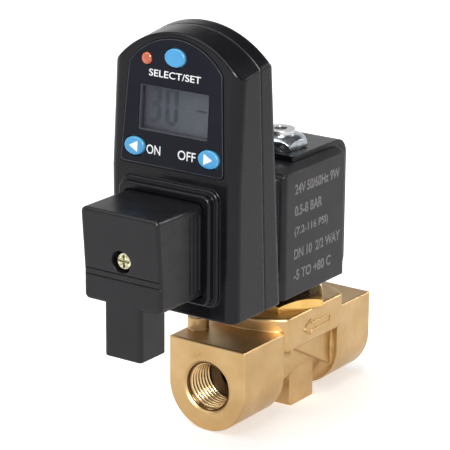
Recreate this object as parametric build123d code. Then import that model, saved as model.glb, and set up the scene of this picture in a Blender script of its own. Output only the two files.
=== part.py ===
from build123d import *
import os
from math import atan, cos, degrees, radians, sin, sqrt, tan

# Automatic drain valve: a pilot-operated brass valve, its coil, a plug-through timer and a cable plug.
# Millimetres. Origin: centre of the underside boss, on the axis of the armature tube.
# +Z is up, the outlet port and the timer's display face -Y, the inlet port faces +Y.

# Clearances
GAP = 0.1            # faces of two pieces that meet in one assembly
SLIDE = 0.08         # radial clearance of a running fit
FREE = 0.3           # radial clearance of a loose hole

# Brass body
BLOCK = 30.4         # width and height of a port block
FRONT_LEN = 41.9     # tube axis to the outlet face
REAR_LEN = 35.5      # tube axis to the inlet face
FRONT_BLOCK = 23.0   # length of the outlet block
REAR_BLOCK = 21.0    # length of the inlet block
PORT_R = 8.33        # thread major radius of a G3/8 port
PORT_DEPTH = 14.0
PORT_CHAMFER = 0.9
WAIST_R = 10.8
COVE_R = 4.0         # hollow corner between waist and block
POT_R = 22.8
POT_WALL = 2.4       # between the pot's bore and its flat sides
POT_RISE = 4.5       # above the port blocks
POT_HEIGHT = 11.8
BOSS_X = 21.0
BOSS_Y = 14.2
BOSS_HOLE_R = 1.65   # tapping size of M4
BOSS_HOLE_DEPTH = 7.0
BOSS_HOLE_PITCH = 12.0
PASSAGE_R = 5.2      # water passage and seat bore
SEAT_WALL = 2.4
CHAMBER_R = 10.9     # ring-shaped chamber around the seat
RISER_R = 4.0        # passage that climbs from the inlet to the chamber
FLOOR_WALL = 2.2     # metal between outlet passage and chamber
SIDE_BOSS_R = 3.6    # round lump on the outlet block
SIDE_BOSS_Y = -30.4

# Diaphragm and bonnet
POT_BORE_R = 13.2
RIM_THICK = 1.6
THREAD_LEN = 3.7
SEAT_DROP = 2.6      # seat below the ledge that carries the rim
PAD_THICK = 1.4
PAD_R = 8.0
DISC_THICK = 1.4
NOZZLE_RISE = 0.8
NOZZLE_R = 1.5
NOZZLE_BORE_R = 0.7
HEX_AF = 30.0        # bonnet hexagon across flats
HEX_HEIGHT = 3.8
HEX_TURN = -55.5     # degrees from +X to one corner
SHOULDER_R = 8.6
SHOULDER_HEIGHT = 1.8
CHAMBER_TOP_R = 10.2
CHAMBER_TOP_HEIGHT = 4.0

# Armature
TUBE_R = 6.6
TUBE_WALL = 1.02
PLUNGER_LEN = 31.0
PLUNGER_LIFT = 3.0
SEAL_R = 2.2
SEAL_THICK = 2.0
SPRING_WIRE = 0.7
STUD_R = 5.0         # threaded end of the fixed core
STUD_LEN = 5.7       # above the washer
STUD_HOLE_R = 2.4
STUD_HOLE_DEPTH = 5.0

# Coil
COIL_W = 32.0
COIL_FRONT = 21.8    # tube axis to the front face
COIL_REAR = 16.3
COIL_H = 42.8
CROWN = 1.2          # raised middle of the top
CROWN_SLOPE = 3.9    # width of the slope on each side of it
YOKE_W = 22.8
YOKE_T = 2.0
YOKE_BEND = 6.0
YOKE_FRONT = 9.6
YOKE_STANDOFF = 5.2  # coil's rear face to the bracket's leg
COIL_FLOOR = 2.6     # walls below and above the bobbin
COIL_ROOF = 2.0
WINDING_R = 13.6
BOBBIN_WALL = 1.3
BOBBIN_FLANGE_T = 1.8
BOBBIN_FLANGE_R = 14.0
INSERT_R = 2.6       # brass insert in the coil
INSERT_LEN = 7.6
NUT_AF = 16.0
NUT_HEIGHT = 4.2     # at the thread; the top is domed
NUT_FLAT_TOP = 3.0   # height at the middle of a flat
NUT_CORNER_TOP = 1.2
NUT_TURN = -36.25
WASHER_T = 0.3

# Flat-contact connector, used twice: coil to timer and timer to plug
CONN_UP = 28.2       # connector centre above the coil's underside
BASE_W = 28.0
BASE_OUT = 2.5
BLADE_W = 6.3
BLADE_T = 0.8
BLADE_SIDE = 9.0     # centre to a side blade
BLADE_DOWN = 9.0     # centre to the earth blade
BLADE_OUT = 8.6
CLIP_WALL = 0.7
CLIP_LEN = 8.4
GASKET_T = 1.5
GASKET_WALL = 3.2

# Timer housing
TIMER_W = 48.8
TIMER_D = 25.5       # depth at the foot
TIMER_LOW = 4.9      # above the coil's underside
SHELL = 2.0
SOCKET_OUT = 10.5    # rear socket, foot of the rear face to its end
ARCH_CORNER = 81.7   # above the coil's underside, at the front
ARCH_APEX = 94.3
ARCH_RISE = 3.2      # the top is a cone, so much higher at the rear
BEND_UP = 21.5       # where the front starts to lean, above the connector
LEAN = 0.07          # lean of the panel, mm per mm
REAR_LEAN = 0.078
PART_LEAN = 0.051
PART_BACK = 17.1     # parting plane behind the front, at the foot
SIDE_ROUND = 3.5
ARCH_ROUND = 0.9
FOOT_ROUND = 0.6
COLLAR_W = 35.2
COLLAR_OUT = 4.2
COLLAR_STEP = 1.2
COLLAR_ROUND = 0.7
POCKET_DEPTH = 1.8
PILLAR_R = 2.6
SCREW_R = 1.2
SCREW_HEAD_R = 2.4
GUIDE_R = 3.4        # tube that guides the long screw through the housing
BOARD_T = 1.6
RELAY_D = 10.0
RELAY_X = 4.6        # middle plane to the relay and to the transformer
CORE_T = 5.0         # laminated core of the transformer
WINDING_D = 10.6
CAN_R = 4.4
CAN_D = 11.0
PLACE_GAP = 4.8      # side of the housing to the relay

# Panel, measured along the leaning face from the bend
LABEL_T = 0.4
LABEL_SINK = 0.25
LABEL_LOW = 2.0
LABEL_LOW_SIDE = 4.4     # side of the housing to the label's lower corner
LABEL_TOP = 34.2
LABEL_TOP_SIDE = 6.5
LABEL_APEX = 43.4
LCD_SIDE = 11.2      # side of the housing to the display opening
LCD_H = 14.5
LCD_V = 20.3
KEY_W = 8.2          # the keys are ellipses
KEY_H = 6.2
KEY_PROUD = 1.0
KEY_TRAVEL = 0.5
KEY_EDGE = 10.2      # side of the housing to a lower key's centre
KEY_LOW_V = 7.6
KEY_TOP_V = 37.4
LED_EDGE = 13.5
LED_V = 35.9
LED_R = 2.0
BOARD_BACK = 7.4     # panel face to the main board

# Plug
PLUG_W = 29.8
PLUG_H = 30.4
PLUG_RISE = 0.6      # plug's middle above the long screw
PLUG_D = 21.6
PLUG_LEAN = 1.7      # the upper front stands out this far at the top
PLUG_WALL = 2.0
PLUG_BREAK = 9.6     # height of the lower front below the groove
STUB_W = 14.4
STUB_D = 13.2
STUB_LEN = 17.4
STUB_BORE_R = 5.4
PLUG_ROUND = 1.8
RECESS_R = 3.7
HEAD_R = 2.9
HEAD_T = 2.3
HEAD_SINK = 0.9
SHANK_R = 1.45
CABLE_R = 3.2
PLUG_FACE = 2.3      # front wall of the plug
COLUMN_R = 4.9       # column around the long screw
TERMINAL_D = 11.4    # depth of the terminal block
GROMMET_H = 8.0

# Places that follow from the sizes
port_z = BLOCK / 2
pot_top = BLOCK + POT_RISE
pot_low = pot_top - POT_HEIGHT
pot_half = POT_BORE_R + POT_WALL
rim_top = pot_top - THREAD_LEN
ledge_z = rim_top - RIM_THICK
seat_z = ledge_z - SEAT_DROP
seat_r = PASSAGE_R + SEAT_WALL
floor_z = port_z + PASSAGE_R + FLOOR_WALL
hex_top = pot_top + HEX_HEIGHT
shoulder_top = hex_top + SHOULDER_HEIGHT
pad_top = seat_z + PAD_THICK
disc_top = pad_top + DISC_THICK
nozzle_top = disc_top + NOZZLE_RISE
ceiling_z = rim_top + CHAMBER_TOP_HEIGHT
tube_in = TUBE_R - TUBE_WALL
plunger_r = tube_in - SLIDE
plunger_low = nozzle_top + 0.4
plunger_top = plunger_low + PLUNGER_LEN
core_low = plunger_top + PLUNGER_LIFT
coil_low = shoulder_top + YOKE_T
coil_high = coil_low + COIL_H
yoke_in_top = coil_high + CROWN + GAP
yoke_top = yoke_in_top + YOKE_T
nut_low = yoke_top + WASHER_T
conn_z = coil_low + CONN_UP
plug_z = conn_z + PLUG_RISE
base_y = -COIL_FRONT - BASE_OUT
socket_y = base_y - GASKET_T
timer_rear = socket_y - SOCKET_OUT
timer_front = timer_rear - TIMER_D
timer_low = coil_low + TIMER_LOW
bend_z = conn_z + BEND_UP
lean_angle = degrees(atan(LEAN))
arch_drop = ARCH_APEX - ARCH_CORNER
arch_r = ((TIMER_W / 2) ** 2 + arch_drop**2) / (2 * arch_drop)
arch_z = coil_low + ARCH_APEX - arch_r
collar_y = timer_front - COLLAR_OUT
pocket_y = collar_y + POCKET_DEPTH
plug_rear = pocket_y - GASKET_T + GAP
plug_front = plug_rear - PLUG_D
plug_low = plug_z - PLUG_H / 2
plug_high = plug_z + PLUG_H / 2
stub_low = plug_low - STUB_LEN
stub_y = plug_front + STUB_D / 2
head_y = plug_front + HEAD_SINK
recess_y = head_y + HEAD_T + 0.8
screw_end = base_y + INSERT_LEN
blade_root = -BOBBIN_FLANGE_R - 2.2
board_y = timer_front + SHELL + 2.4
header_low = bend_z - 3.2
timer_half = TIMER_W / 2
lcd_w = TIMER_W - 2 * LCD_SIDE
key_x = timer_half - KEY_EDGE
led_x = LED_EDGE - timer_half

PANEL = Plane(
    origin=(0, timer_front, bend_z),
    x_dir=(1, 0, 0),
    z_dir=(0, -cos(radians(lean_angle)), sin(radians(lean_angle))),
)


# Plain shapes used below
def box(x0, x1, y0, y1, z0, z1):
    """Block between two corners."""
    block = Box(x1 - x0, y1 - y0, z1 - z0)
    return Pos((x0 + x1) / 2, (y0 + y1) / 2, (z0 + z1) / 2) * block


def post(radius, z0, z1, x=0.0, y=0.0):
    """Upright cylinder."""
    body = Cylinder(radius, z1 - z0, align=(Align.CENTER, Align.CENTER, Align.MIN))
    return Pos(x, y, z0) * body


def ring(outer, inner, z0, z1, x=0.0, y=0.0):
    """Upright tube."""
    return post(outer, z0, z1, x, y) - post(inner, z0 - 1, z1 + 1, x, y)


def rod(radius, y0, y1, x, z):
    """Cylinder along Y."""
    body = Cylinder(radius, y1 - y0, align=(Align.CENTER, Align.CENTER, Align.MIN))
    return Pos(x, y0, z) * Rot(-90, 0, 0) * body


def side_prism(points, half):
    """Outline given as (y, z) points, as wide as half on each side of the middle plane."""
    face = make_face(Polyline([(0, y, z) for y, z in points], close=True))
    return extrude(face, amount=half, dir=(1, 0, 0), both=True)


def spun(points, axis_point, axis_dir):
    """Body of revolution from an outline of points."""
    face = make_face(Polyline(points, close=True))
    return revolve(face, Axis(axis_point, axis_dir))


def face_plate(width, height, corner, y0, y1, z, x=0.0):
    """Rounded rectangle seen from the front, between two planes across Y."""
    outline = RectangleRounded(width, height, corner)
    return Pos(x, y1, z) * Rot(90, 0, 0) * extrude(outline, amount=y1 - y0)


def on_panel(shape):
    """Moves a shape from panel coordinates (x, up the lean, outwards) to its place."""
    return PANEL.location * shape


def panel_plate(width, height, corner, x, v, n0, n1):
    """Rounded rectangle on the leaning panel, between two depths."""
    outline = RectangleRounded(width, height, corner)
    return on_panel(Pos(x, v, n0) * extrude(outline, amount=n1 - n0))


def panel_post(radius, x, v, n0, n1):
    """Cylinder square to the leaning panel."""
    body = Cylinder(radius, n1 - n0, align=(Align.CENTER, Align.CENTER, Align.MIN))
    return on_panel(Pos(x, v, n0) * body)


def hexagon(flats, z0, z1, turn):
    """Hexagon with its upper corners turned off at 30 degrees."""
    corner_r = flats / sqrt(3)
    rest = 0.97 * flats / 2
    drop = (corner_r - rest) * tan(radians(30))
    blank = Pos(0, 0, z0) * extrude(RegularPolygon(corner_r, 6, rotation=turn), amount=z1 - z0)
    points = [(0, 0, z0), (corner_r, 0, z0), (corner_r, 0, z1 - drop), (rest, 0, z1), (0, 0, z1)]
    return blank & spun(points, (0, 0, 0), (0, 0, 1))


def helix_spring(radius, wire, z0, z1, turns):
    """Open coil spring of four-sided wire between two heights."""
    length = z1 - z0 - wire
    path = Helix(length / turns, length, radius)
    section = Plane(origin=path @ 0, z_dir=path % 0) * Rectangle(0.8 * wire, 0.8 * wire)
    return Pos(0, 0, z0 + wire / 2) * sweep(section, path=path)


# Brass body
def port_block(y0, y1, outer_first):
    """Block with a flat top and a half-round underside."""
    half = BLOCK / 2
    block = rod(half, y0, y1, 0, port_z) + box(-half, half, y0, y1, port_z, BLOCK)
    end = block.faces().sort_by(Axis.Y)[0 if outer_first else -1]
    long_edges = block.edges().filter_by(Axis.Y).filter_by_position(Axis.Z, BLOCK - 0.01, BLOCK + 0.01)
    return fillet(end.edges() + long_edges, 0.6)


def waist():
    """Narrow round neck with a hollow corner at each block."""
    a = -FRONT_LEN + FRONT_BLOCK
    b = REAR_LEN - REAR_BLOCK
    low = port_z + WAIST_R
    high = low + COVE_R
    bite = COVE_R * (1 - sqrt(0.5))
    lines = [
        Line((0, a - 1, port_z), (0, a - 1, high)),
        Line((0, a - 1, high), (0, a, high)),
        ThreePointArc((0, a, high), (0, a + bite, low + bite), (0, a + COVE_R, low)),
        Line((0, a + COVE_R, low), (0, b - COVE_R, low)),
        ThreePointArc((0, b - COVE_R, low), (0, b - bite, low + bite), (0, b, high)),
        Line((0, b, high), (0, b + 1, high)),
        Line((0, b + 1, high), (0, b + 1, port_z)),
        Line((0, b + 1, port_z), (0, a - 1, port_z)),
    ]
    return revolve(make_face(lines), Axis((0, 0, port_z), (0, 1, 0)))


def pot():
    """Round pot with two flat side pads."""
    body = post(POT_R, pot_low, pot_top) & box(-pot_half, pot_half, -POT_R, POT_R, pot_low, pot_top)
    body = fillet(body.edges().filter_by(Axis.Z), 2.6)
    body = fillet(body.faces().sort_by(Axis.Z)[-1].edges(), 0.9)
    return fillet(body.faces().sort_by(Axis.Z)[0].edges(), 0.9)


def boss():
    """Square foot under the waist."""
    body = box(-BOSS_X / 2, BOSS_X / 2, -BOSS_Y / 2, BOSS_Y / 2, 0, pot_low + 1)
    return fillet(body.edges().filter_by(Axis.Z), 1.0)


def side_boss():
    """Round lump on top of the outlet block, flush with its side."""
    x = SIDE_BOSS_R - BLOCK / 2
    lump = post(SIDE_BOSS_R, BLOCK - 4, pot_top, x, SIDE_BOSS_Y)
    return fillet(lump.faces().sort_by(Axis.Z)[-1].edges(), 0.5)


def riser_web():
    """Thick wall around the climbing inlet passage, with its underside on a slope."""
    back = REAR_LEN - REAR_BLOCK + 1
    points = [(-9.0, pot_low - 1.4), (back, port_z - 6.6), (back, pot_low + 1), (-9.0, pot_low + 1)]
    return fillet(side_prism(points, WAIST_R + 1.8).edges().filter_by(Axis.Z, reverse=True), 0.5)


def port_bore(face_y, inward):
    """Threaded port: plain bore at the thread's outer radius, with a chamfered mouth."""
    deep = face_y + inward * PORT_DEPTH
    rim = PORT_R + PORT_CHAMFER
    points = [
        (0, face_y - inward, port_z),
        (0, face_y - inward, port_z + rim + 1),
        (0, face_y + inward * PORT_CHAMFER, port_z + PORT_R),
        (0, deep, port_z + PORT_R),
        (0, deep + inward * (PORT_R - PASSAGE_R) * 0.6, port_z + PASSAGE_R),
        (0, deep + inward * (PORT_R - PASSAGE_R) * 0.6, port_z),
    ]
    return spun(points, (0, 0, port_z), (0, 1, 0))


def water_ways():
    """Outlet passage, seat bore, ring chamber and the climbing inlet passage."""
    outlet = rod(PASSAGE_R, -FRONT_LEN + PORT_DEPTH, 0, 0, port_z) + Pos(0, 0, port_z) * Sphere(PASSAGE_R)
    seat_bore = post(PASSAGE_R, port_z, seat_z + 1)
    chamber = ring(CHAMBER_R, seat_r, floor_z, seat_z) + post(CHAMBER_R, seat_z, ledge_z + 0.01)
    start_y = REAR_LEN - PORT_DEPTH + 1.0
    end_y = CHAMBER_R - 1.0
    rise = seat_z - 2.0 - port_z
    run = start_y - end_y
    length = sqrt(rise**2 + run**2)
    tilt = degrees(atan(run / rise))
    climb = Cylinder(RISER_R, length, align=(Align.CENTER, Align.CENTER, Align.MIN))
    riser = Pos(0, start_y, port_z) * Rot(tilt, 0, 0) * climb
    riser = riser - post(seat_r, 0, seat_z)
    return outlet + seat_bore + chamber + riser


def valve_body():
    body = port_block(-FRONT_LEN, -FRONT_LEN + FRONT_BLOCK, True)
    body += port_block(REAR_LEN - REAR_BLOCK, REAR_LEN, False)
    body += waist() + pot() + boss() + riser_web() + side_boss()
    body -= port_bore(-FRONT_LEN, 1) + port_bore(REAR_LEN, -1)
    body -= water_ways()
    body -= post(POT_BORE_R, ledge_z, pot_top + 1)
    for side in (-1, 1):
        body -= post(BOSS_HOLE_R, -1, BOSS_HOLE_DEPTH, side * BOSS_HOLE_PITCH / 2)
    return body


# Diaphragm, in the pieces that move apart
def diaphragm_rim():
    return ring(POT_BORE_R - GAP, CHAMBER_R - 0.5, ledge_z, rim_top)


def diaphragm_skirt():
    """Flexible cone between the clamped rim and the seat pad."""
    out_r = CHAMBER_R - 0.5 - GAP
    in_r = PAD_R + GAP
    thick = 0.8
    points = [
        (out_r, 0, rim_top - 0.4),
        (out_r, 0, rim_top - 0.4 - thick),
        (in_r, 0, seat_z + 0.3),
        (in_r, 0, seat_z + 0.3 + thick),
    ]
    return spun(points, (0, 0, 0), (0, 0, 1))


def diaphragm_pad():
    return ring(PAD_R, NOZZLE_R + GAP, seat_z, pad_top)


def diaphragm_disc():
    """Support disc with the pilot nozzle through its middle."""
    disc = post(PAD_R, pad_top, disc_top)
    nozzle = post(NOZZLE_R, seat_z, nozzle_top)
    return disc + nozzle - post(NOZZLE_BORE_R, seat_z - 1, nozzle_top + 1)


def diaphragm_spring():
    radius = (TUBE_R + PAD_R) / 2 + 0.1
    return helix_spring(radius, SPRING_WIRE, disc_top + GAP, ceiling_z - GAP, 2)


def bonnet():
    """Hexagon, threaded skirt in the pot and the shoulder that carries the coil."""
    body = hexagon(HEX_AF, pot_top, hex_top, HEX_TURN)
    body += post(POT_BORE_R - GAP, rim_top, pot_top)
    body += post(SHOULDER_R, hex_top, shoulder_top)
    body -= post(CHAMBER_TOP_R, rim_top - 1, ceiling_z)
    return body - post(TUBE_R, rim_top, shoulder_top + 1)


# Armature
def armature_tube():
    return ring(TUBE_R, tube_in, ceiling_z, yoke_top - 0.4)


def fixed_core():
    """Iron stop pressed into the tube, with a threaded hollow end for the nut."""
    core = post(tube_in - 0.02, core_low, yoke_top - 0.4)
    core += post(STUD_R, yoke_top - 0.4, nut_low + STUD_LEN)
    core = core - post(STUD_HOLE_R, nut_low + STUD_LEN - STUD_HOLE_DEPTH, nut_low + STUD_LEN + 1)
    return core - ring(4.4, 3.4, core_low - 1, core_low + 1.6)


def shading_ring():
    return ring(4.38, 3.42, core_low, core_low + 1.55)


def plunger():
    """Iron plunger with a spring hole on top and a seal seat below."""
    body = post(plunger_r, plunger_low, plunger_top)
    body = chamfer(body.edges().filter_by(GeomType.CIRCLE), 0.5)
    body -= post(3.0, plunger_top - 12.0, plunger_top + 1)
    body -= post(SEAL_R, plunger_low - 1, nozzle_top + SEAL_THICK)
    middle = box(-plunger_r + 0.7, plunger_r - 0.7, -2, 2, plunger_low - 2, plunger_top + 2)
    grooves = box(-plunger_r - 1, plunger_r + 1, -1, 1, plunger_low - 1, plunger_top + 1) - middle
    return body - grooves


def plunger_seal():
    return post(SEAL_R - 0.02, nozzle_top, nozzle_top + SEAL_THICK)


def plunger_spring():
    return helix_spring(2.3, SPRING_WIRE, plunger_top - 12.0, core_low - GAP, 5)


# Coil
def blade_set(y0, y1, grow=0.0):
    """Two upright side blades and one level earth blade, as a list."""
    wide = BLADE_W / 2 + grow
    thin = BLADE_T / 2 + grow
    blades = []
    for side in (-1, 1):
        x = side * BLADE_SIDE
        blades.append(box(x - thin, x + thin, y0, y1, conn_z - wide, conn_z + wide))
    z = conn_z - BLADE_DOWN
    blades.append(box(-wide, wide, y0, y1, z - thin, z + thin))
    return blades


def clip_set(y0, y1):
    """Spring sockets that the blades push into."""
    clips = []
    for outer, inner in zip(blade_set(y0, y1, CLIP_WALL + 0.05), blade_set(y0 - 1, y1 + 1, 0.05)):
        clips.append(outer - inner)
    return clips


def joined(shapes):
    """Separate solids kept in one node."""
    return Compound(children=[Part(s.wrapped) if not isinstance(s, Part) else s for s in shapes])


def cut_all(body, tools):
    """Takes each tool away from a body."""
    for tool in tools:
        body = body - tool
    return body


def crown():
    """Raised middle of the coil's top, sloping down on both sides and at the front."""
    front = -COIL_FRONT + 2.6
    long = COIL_REAR - front
    low = Pos(0, COIL_REAR - long / 2, coil_high) * Rectangle(YOKE_W + 2 * CROWN_SLOPE, long)
    top = Pos(0, COIL_REAR - long / 2 + 0.5, coil_high + CROWN) * Rectangle(YOKE_W + 0.4, long - 1.0)
    return loft([low.face(), top.face()])


def rear_rib():
    """Broad rib that fills the room between the coil's rear face and the bracket."""
    rear = COIL_REAR + YOKE_STANDOFF - GAP
    rib = box(-YOKE_W / 2, YOKE_W / 2, COIL_REAR - 2, rear, coil_low, coil_high + CROWN)
    rear_edges = rib.edges().filter_by(Axis.X).sort_by(Axis.Y)[-2:]
    return fillet(rear_edges, YOKE_BEND - YOKE_T + GAP)


def coil_moulding():
    half = COIL_W / 2
    body = box(-half, half, -COIL_FRONT, COIL_REAR, coil_low, coil_high)
    front = body.faces().sort_by(Axis.Y)[0]
    uprights = body.edges().filter_by(Axis.Z)
    body = fillet(uprights.sort_by(Axis.Y)[:2] + [front.edges().sort_by(Axis.Z)[-1]], 2.4)
    side_edges = body.edges().filter_by(Axis.Z).filter_by_position(Axis.Y, COIL_REAR - 0.1, COIL_REAR + 0.1)
    body = fillet(side_edges, 1.2)
    body += crown() + rear_rib()
    body += face_plate(BASE_W, BASE_W, 1.5, base_y, -COIL_FRONT + 0.5, conn_z)
    body -= post(TUBE_R + FREE, coil_low - 1, coil_high + CROWN + 1)
    body -= post(BOBBIN_FLANGE_R + GAP, coil_low + COIL_FLOOR, coil_high - COIL_ROOF)
    body -= rod(INSERT_R, base_y - 1, screw_end, 0, conn_z)
    return cut_all(body, blade_set(base_y - 1, blade_root))


def coil_bobbin():
    low = coil_low + COIL_FLOOR + GAP
    high = coil_high - COIL_ROOF - GAP
    body = post(TUBE_R + BOBBIN_WALL, low, high)
    body += post(BOBBIN_FLANGE_R, low, low + BOBBIN_FLANGE_T)
    body += post(BOBBIN_FLANGE_R, high - BOBBIN_FLANGE_T, high)
    return body - post(TUBE_R + SLIDE, low - 1, high + 1)


def coil_winding():
    low = coil_low + COIL_FLOOR + GAP + BOBBIN_FLANGE_T
    high = coil_high - COIL_ROOF - GAP - BOBBIN_FLANGE_T
    return ring(WINDING_R, TUBE_R + BOBBIN_WALL + 0.02, low + 0.02, high - 0.02)


def coil_yoke():
    """Flat steel strip bent twice, with a hole at each end for the tube."""
    rear = COIL_REAR + YOKE_STANDOFF + YOKE_T
    outer = box(-YOKE_W / 2, YOKE_W / 2, -YOKE_FRONT, rear, shoulder_top, yoke_top)
    outer = fillet(outer.edges().filter_by(Axis.X).sort_by(Axis.Y)[-2:], YOKE_BEND)
    inner = box(-YOKE_W, YOKE_W, -YOKE_FRONT - 10, rear - YOKE_T, coil_low, yoke_in_top)
    inner = fillet(inner.edges().filter_by(Axis.X).sort_by(Axis.Y)[-2:], YOKE_BEND - YOKE_T)
    strip = outer - inner
    strip = fillet(strip.edges().filter_by(Axis.Z).sort_by(Axis.Y)[:4], 1.0)
    return strip - post(TUBE_R + FREE, shoulder_top - 1, yoke_top + 1)


def coil_blades():
    return joined(blade_set(base_y - BLADE_OUT, blade_root))


def coil_insert():
    """Knurled brass insert for the long screw."""
    insert = rod(INSERT_R, base_y + 0.2, screw_end, 0, conn_z)
    return insert - rod(SHANK_R + 0.05, base_y - 1, screw_end + 1, 0, conn_z)


def tube_seal():
    return ring(SHOULDER_R + 2.0, SHOULDER_R + 0.2, hex_top + GAP, shoulder_top - GAP)


def nut_washer():
    return ring(NUT_AF / 2 - 0.3, STUD_R + 0.2, yoke_top, nut_low)


def coil_nut():
    """Hexagon nut with a strongly domed top."""
    corner = NUT_AF / sqrt(3)
    top = nut_low + NUT_HEIGHT
    edge = (corner, 0, nut_low + NUT_CORNER_TOP)
    mouth = (STUD_R + 0.3, 0, top)
    lines = [
        Polyline([(0, 0, top), (0, 0, nut_low), (corner - 0.5, 0, nut_low), (corner, 0, nut_low + 0.3), edge]),
        ThreePointArc(edge, (NUT_AF / 2, 0, nut_low + NUT_FLAT_TOP), mouth),
        Line(mouth, (0, 0, top)),
    ]
    turned = revolve(make_face(lines), Axis((0, 0, 0), (0, 0, 1)))
    prism = extrude(RegularPolygon(corner, 6, rotation=NUT_TURN), amount=NUT_HEIGHT)
    return (turned & Pos(0, 0, nut_low) * prism) - post(STUD_R + 0.05, nut_low - 1, top + 1)


def rear_gasket():
    plate = face_plate(BASE_W - 0.4, BASE_W - 0.4, 1.5, socket_y, base_y, conn_z)
    hole = BASE_W - 0.4 - 2 * GASKET_WALL
    return plate - face_plate(hole, hole, 1.0, socket_y - 1, base_y + 1, conn_z)


# Timer housing
def arch_form(inset):
    """Flat-sided block with a wide cone about a level axis as its top."""
    half = timer_half - inset
    y0 = timer_front - 2
    y1 = timer_rear + 2
    slope = ARCH_RISE / TIMER_D
    skin = inset * sqrt(1 + slope**2)
    r0 = arch_r - 2 * slope - skin
    r1 = arch_r + (TIMER_D + 2) * slope - skin
    points = [(0, y0, arch_z), (0, y0, arch_z + r0), (0, y1, arch_z + r1), (0, y1, arch_z)]
    cone = spun(points, (0, 0, arch_z), (0, 1, 0))
    foot = box(-2 * TIMER_W, 2 * TIMER_W, y0, y1, timer_low - 1, arch_z)
    return (cone + foot) & box(-half, half, y0, y1, timer_low + inset, arch_z + 2 * arch_r)


def side_outline(inset):
    """Leaning front and rear of the housing, seen from the side."""
    top = coil_low + ARCH_APEX + 12
    low = timer_low + inset
    front = timer_front + inset
    rear = timer_rear - inset
    lean_top = front + LEAN * (top - bend_z)
    return [(front, low), (front, bend_z), (lean_top, top), (rear - REAR_LEAN * (top - low), top), (rear, low)]


def timer_form(inset):
    """Whole housing, both shells, shrunk by an inset."""
    return arch_form(inset) & side_prism(side_outline(inset), TIMER_W)


def timer_outside():
    """Housing with its rounded edges."""
    body = timer_form(0)
    half = timer_half
    corner_z = coil_low + ARCH_CORNER
    sides = body.edges().filter_by(
        lambda e: abs(abs(e.center().X) - half) < 0.01 and e.center().Y < timer_front + 4 and e.length > 20
    )
    body = fillet(sides, SIDE_ROUND)
    rims = body.edges().filter_by(lambda e: min(v.Z for v in e.vertices()) > corner_z - 2.0)
    body = fillet(rims, ARCH_ROUND)
    feet = body.edges().filter_by(lambda e: abs(e.center().Z - timer_low) < 0.01)
    return fillet(feet, FOOT_ROUND)


def part_y(z):
    """Depth of the leaning parting plane at a height."""
    return timer_front + PART_BACK - PART_LEAN * (z - timer_low)


def half_space(front_side, shift=0.0):
    """Room in front of or behind the parting plane."""
    low = timer_low - 10
    high = coil_low + ARCH_APEX + 20
    far = timer_front - 20 if front_side else timer_rear + 20
    seam = [(part_y(low) + shift, low), (part_y(high) + shift, high)]
    return side_prism([(far, low)] + seam + [(far, high)], TIMER_W)


def pillar_places():
    """Case screw places as (x, z)."""
    low = timer_low + SHELL + PILLAR_R + 0.4
    high = coil_low + ARCH_CORNER - 7.0
    side = timer_half - SHELL - PILLAR_R - 0.4
    return [(-side, low), (side, low), (-side, high), (side, high)]


def panel_openings():
    """Holes of the leaning panel: display, lamp and keys."""
    cuts = [panel_plate(lcd_w, LCD_H, 0.6, 0, LCD_V, -SHELL - 1, 1)]
    cuts.append(panel_post(LED_R + GAP, led_x, LED_V, -SHELL - 2, 1))
    for x, v in key_places():
        cuts.append(on_panel(oval(0.25, x, v, -SHELL - 1, 1)))
    return cuts


def oval(grow, x, v, n0, n1, grow_v=None):
    """Upright plate with the outline of a key, made larger by grow."""
    up = grow if grow_v is None else grow_v
    outline = Ellipse(KEY_W / 2 + grow, KEY_H / 2 + up)
    return Pos(x, v, n0) * extrude(outline, amount=n1 - n0)


def key_places():
    """Centres of the keys on the panel: top, left and right."""
    return [(0, KEY_TOP_V), (-key_x, KEY_LOW_V), (key_x, KEY_LOW_V)]


def label_outline(shrink=0.0):
    """Outline of the front label in panel coordinates."""
    low = LABEL_LOW + shrink
    half_low = timer_half - LABEL_LOW_SIDE - shrink
    half_top = timer_half - LABEL_TOP_SIDE - shrink
    lines = [
        Line((-half_low, low), (half_low, low)),
        Line((half_low, low), (half_top, LABEL_TOP)),
        ThreePointArc((half_top, LABEL_TOP), (0, LABEL_APEX - shrink), (-half_top, LABEL_TOP)),
        Line((-half_top, LABEL_TOP), (-half_low, low)),
    ]
    face = make_face(lines)
    return fillet(face.vertices().sort_by(Axis.Y)[:2], 1.4)


def timer_front_shell():
    body = (timer_outside() & half_space(True)) - timer_form(SHELL)
    for x, z in pillar_places():
        pillar = rod(PILLAR_R, timer_front, part_y(z) - 0.4, x, z)
        body += pillar & timer_form(SHELL / 2)
    height = PLUG_H + COLLAR_W - PLUG_W
    collar = face_plate(COLLAR_W, height, 3.0, collar_y, timer_front + 0.5, plug_z)
    body += fillet(collar.faces().sort_by(Axis.Y)[0].edges(), COLLAR_ROUND)
    foot_w = COLLAR_W + 2 * COLLAR_STEP
    foot = face_plate(foot_w, height + 2 * COLLAR_STEP, 3.6, timer_front - 1.5, timer_front + 0.5, plug_z)
    body += fillet(foot.faces().sort_by(Axis.Y)[0].edges(), COLLAR_ROUND)
    pocket = PLUG_W + 0.8
    body -= face_plate(pocket, PLUG_H + 0.8, 2.0, collar_y - 1, pocket_y, plug_z)
    body -= rod(SHANK_R + 0.45, collar_y - 1, timer_front + SHELL + 1, 0, conn_z)
    body = cut_all(body, blade_set(collar_y - 1, timer_front + SHELL + 1, GAP))
    body -= on_panel(Pos(0, 0, -LABEL_SINK) * extrude(label_outline(-GAP), amount=3))
    body = cut_all(body, panel_openings())
    for x, z in pillar_places():
        body -= rod(SCREW_R + 0.05, part_y(z) - 8.0, part_y(z) + 1, x, z)
    return body


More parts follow.
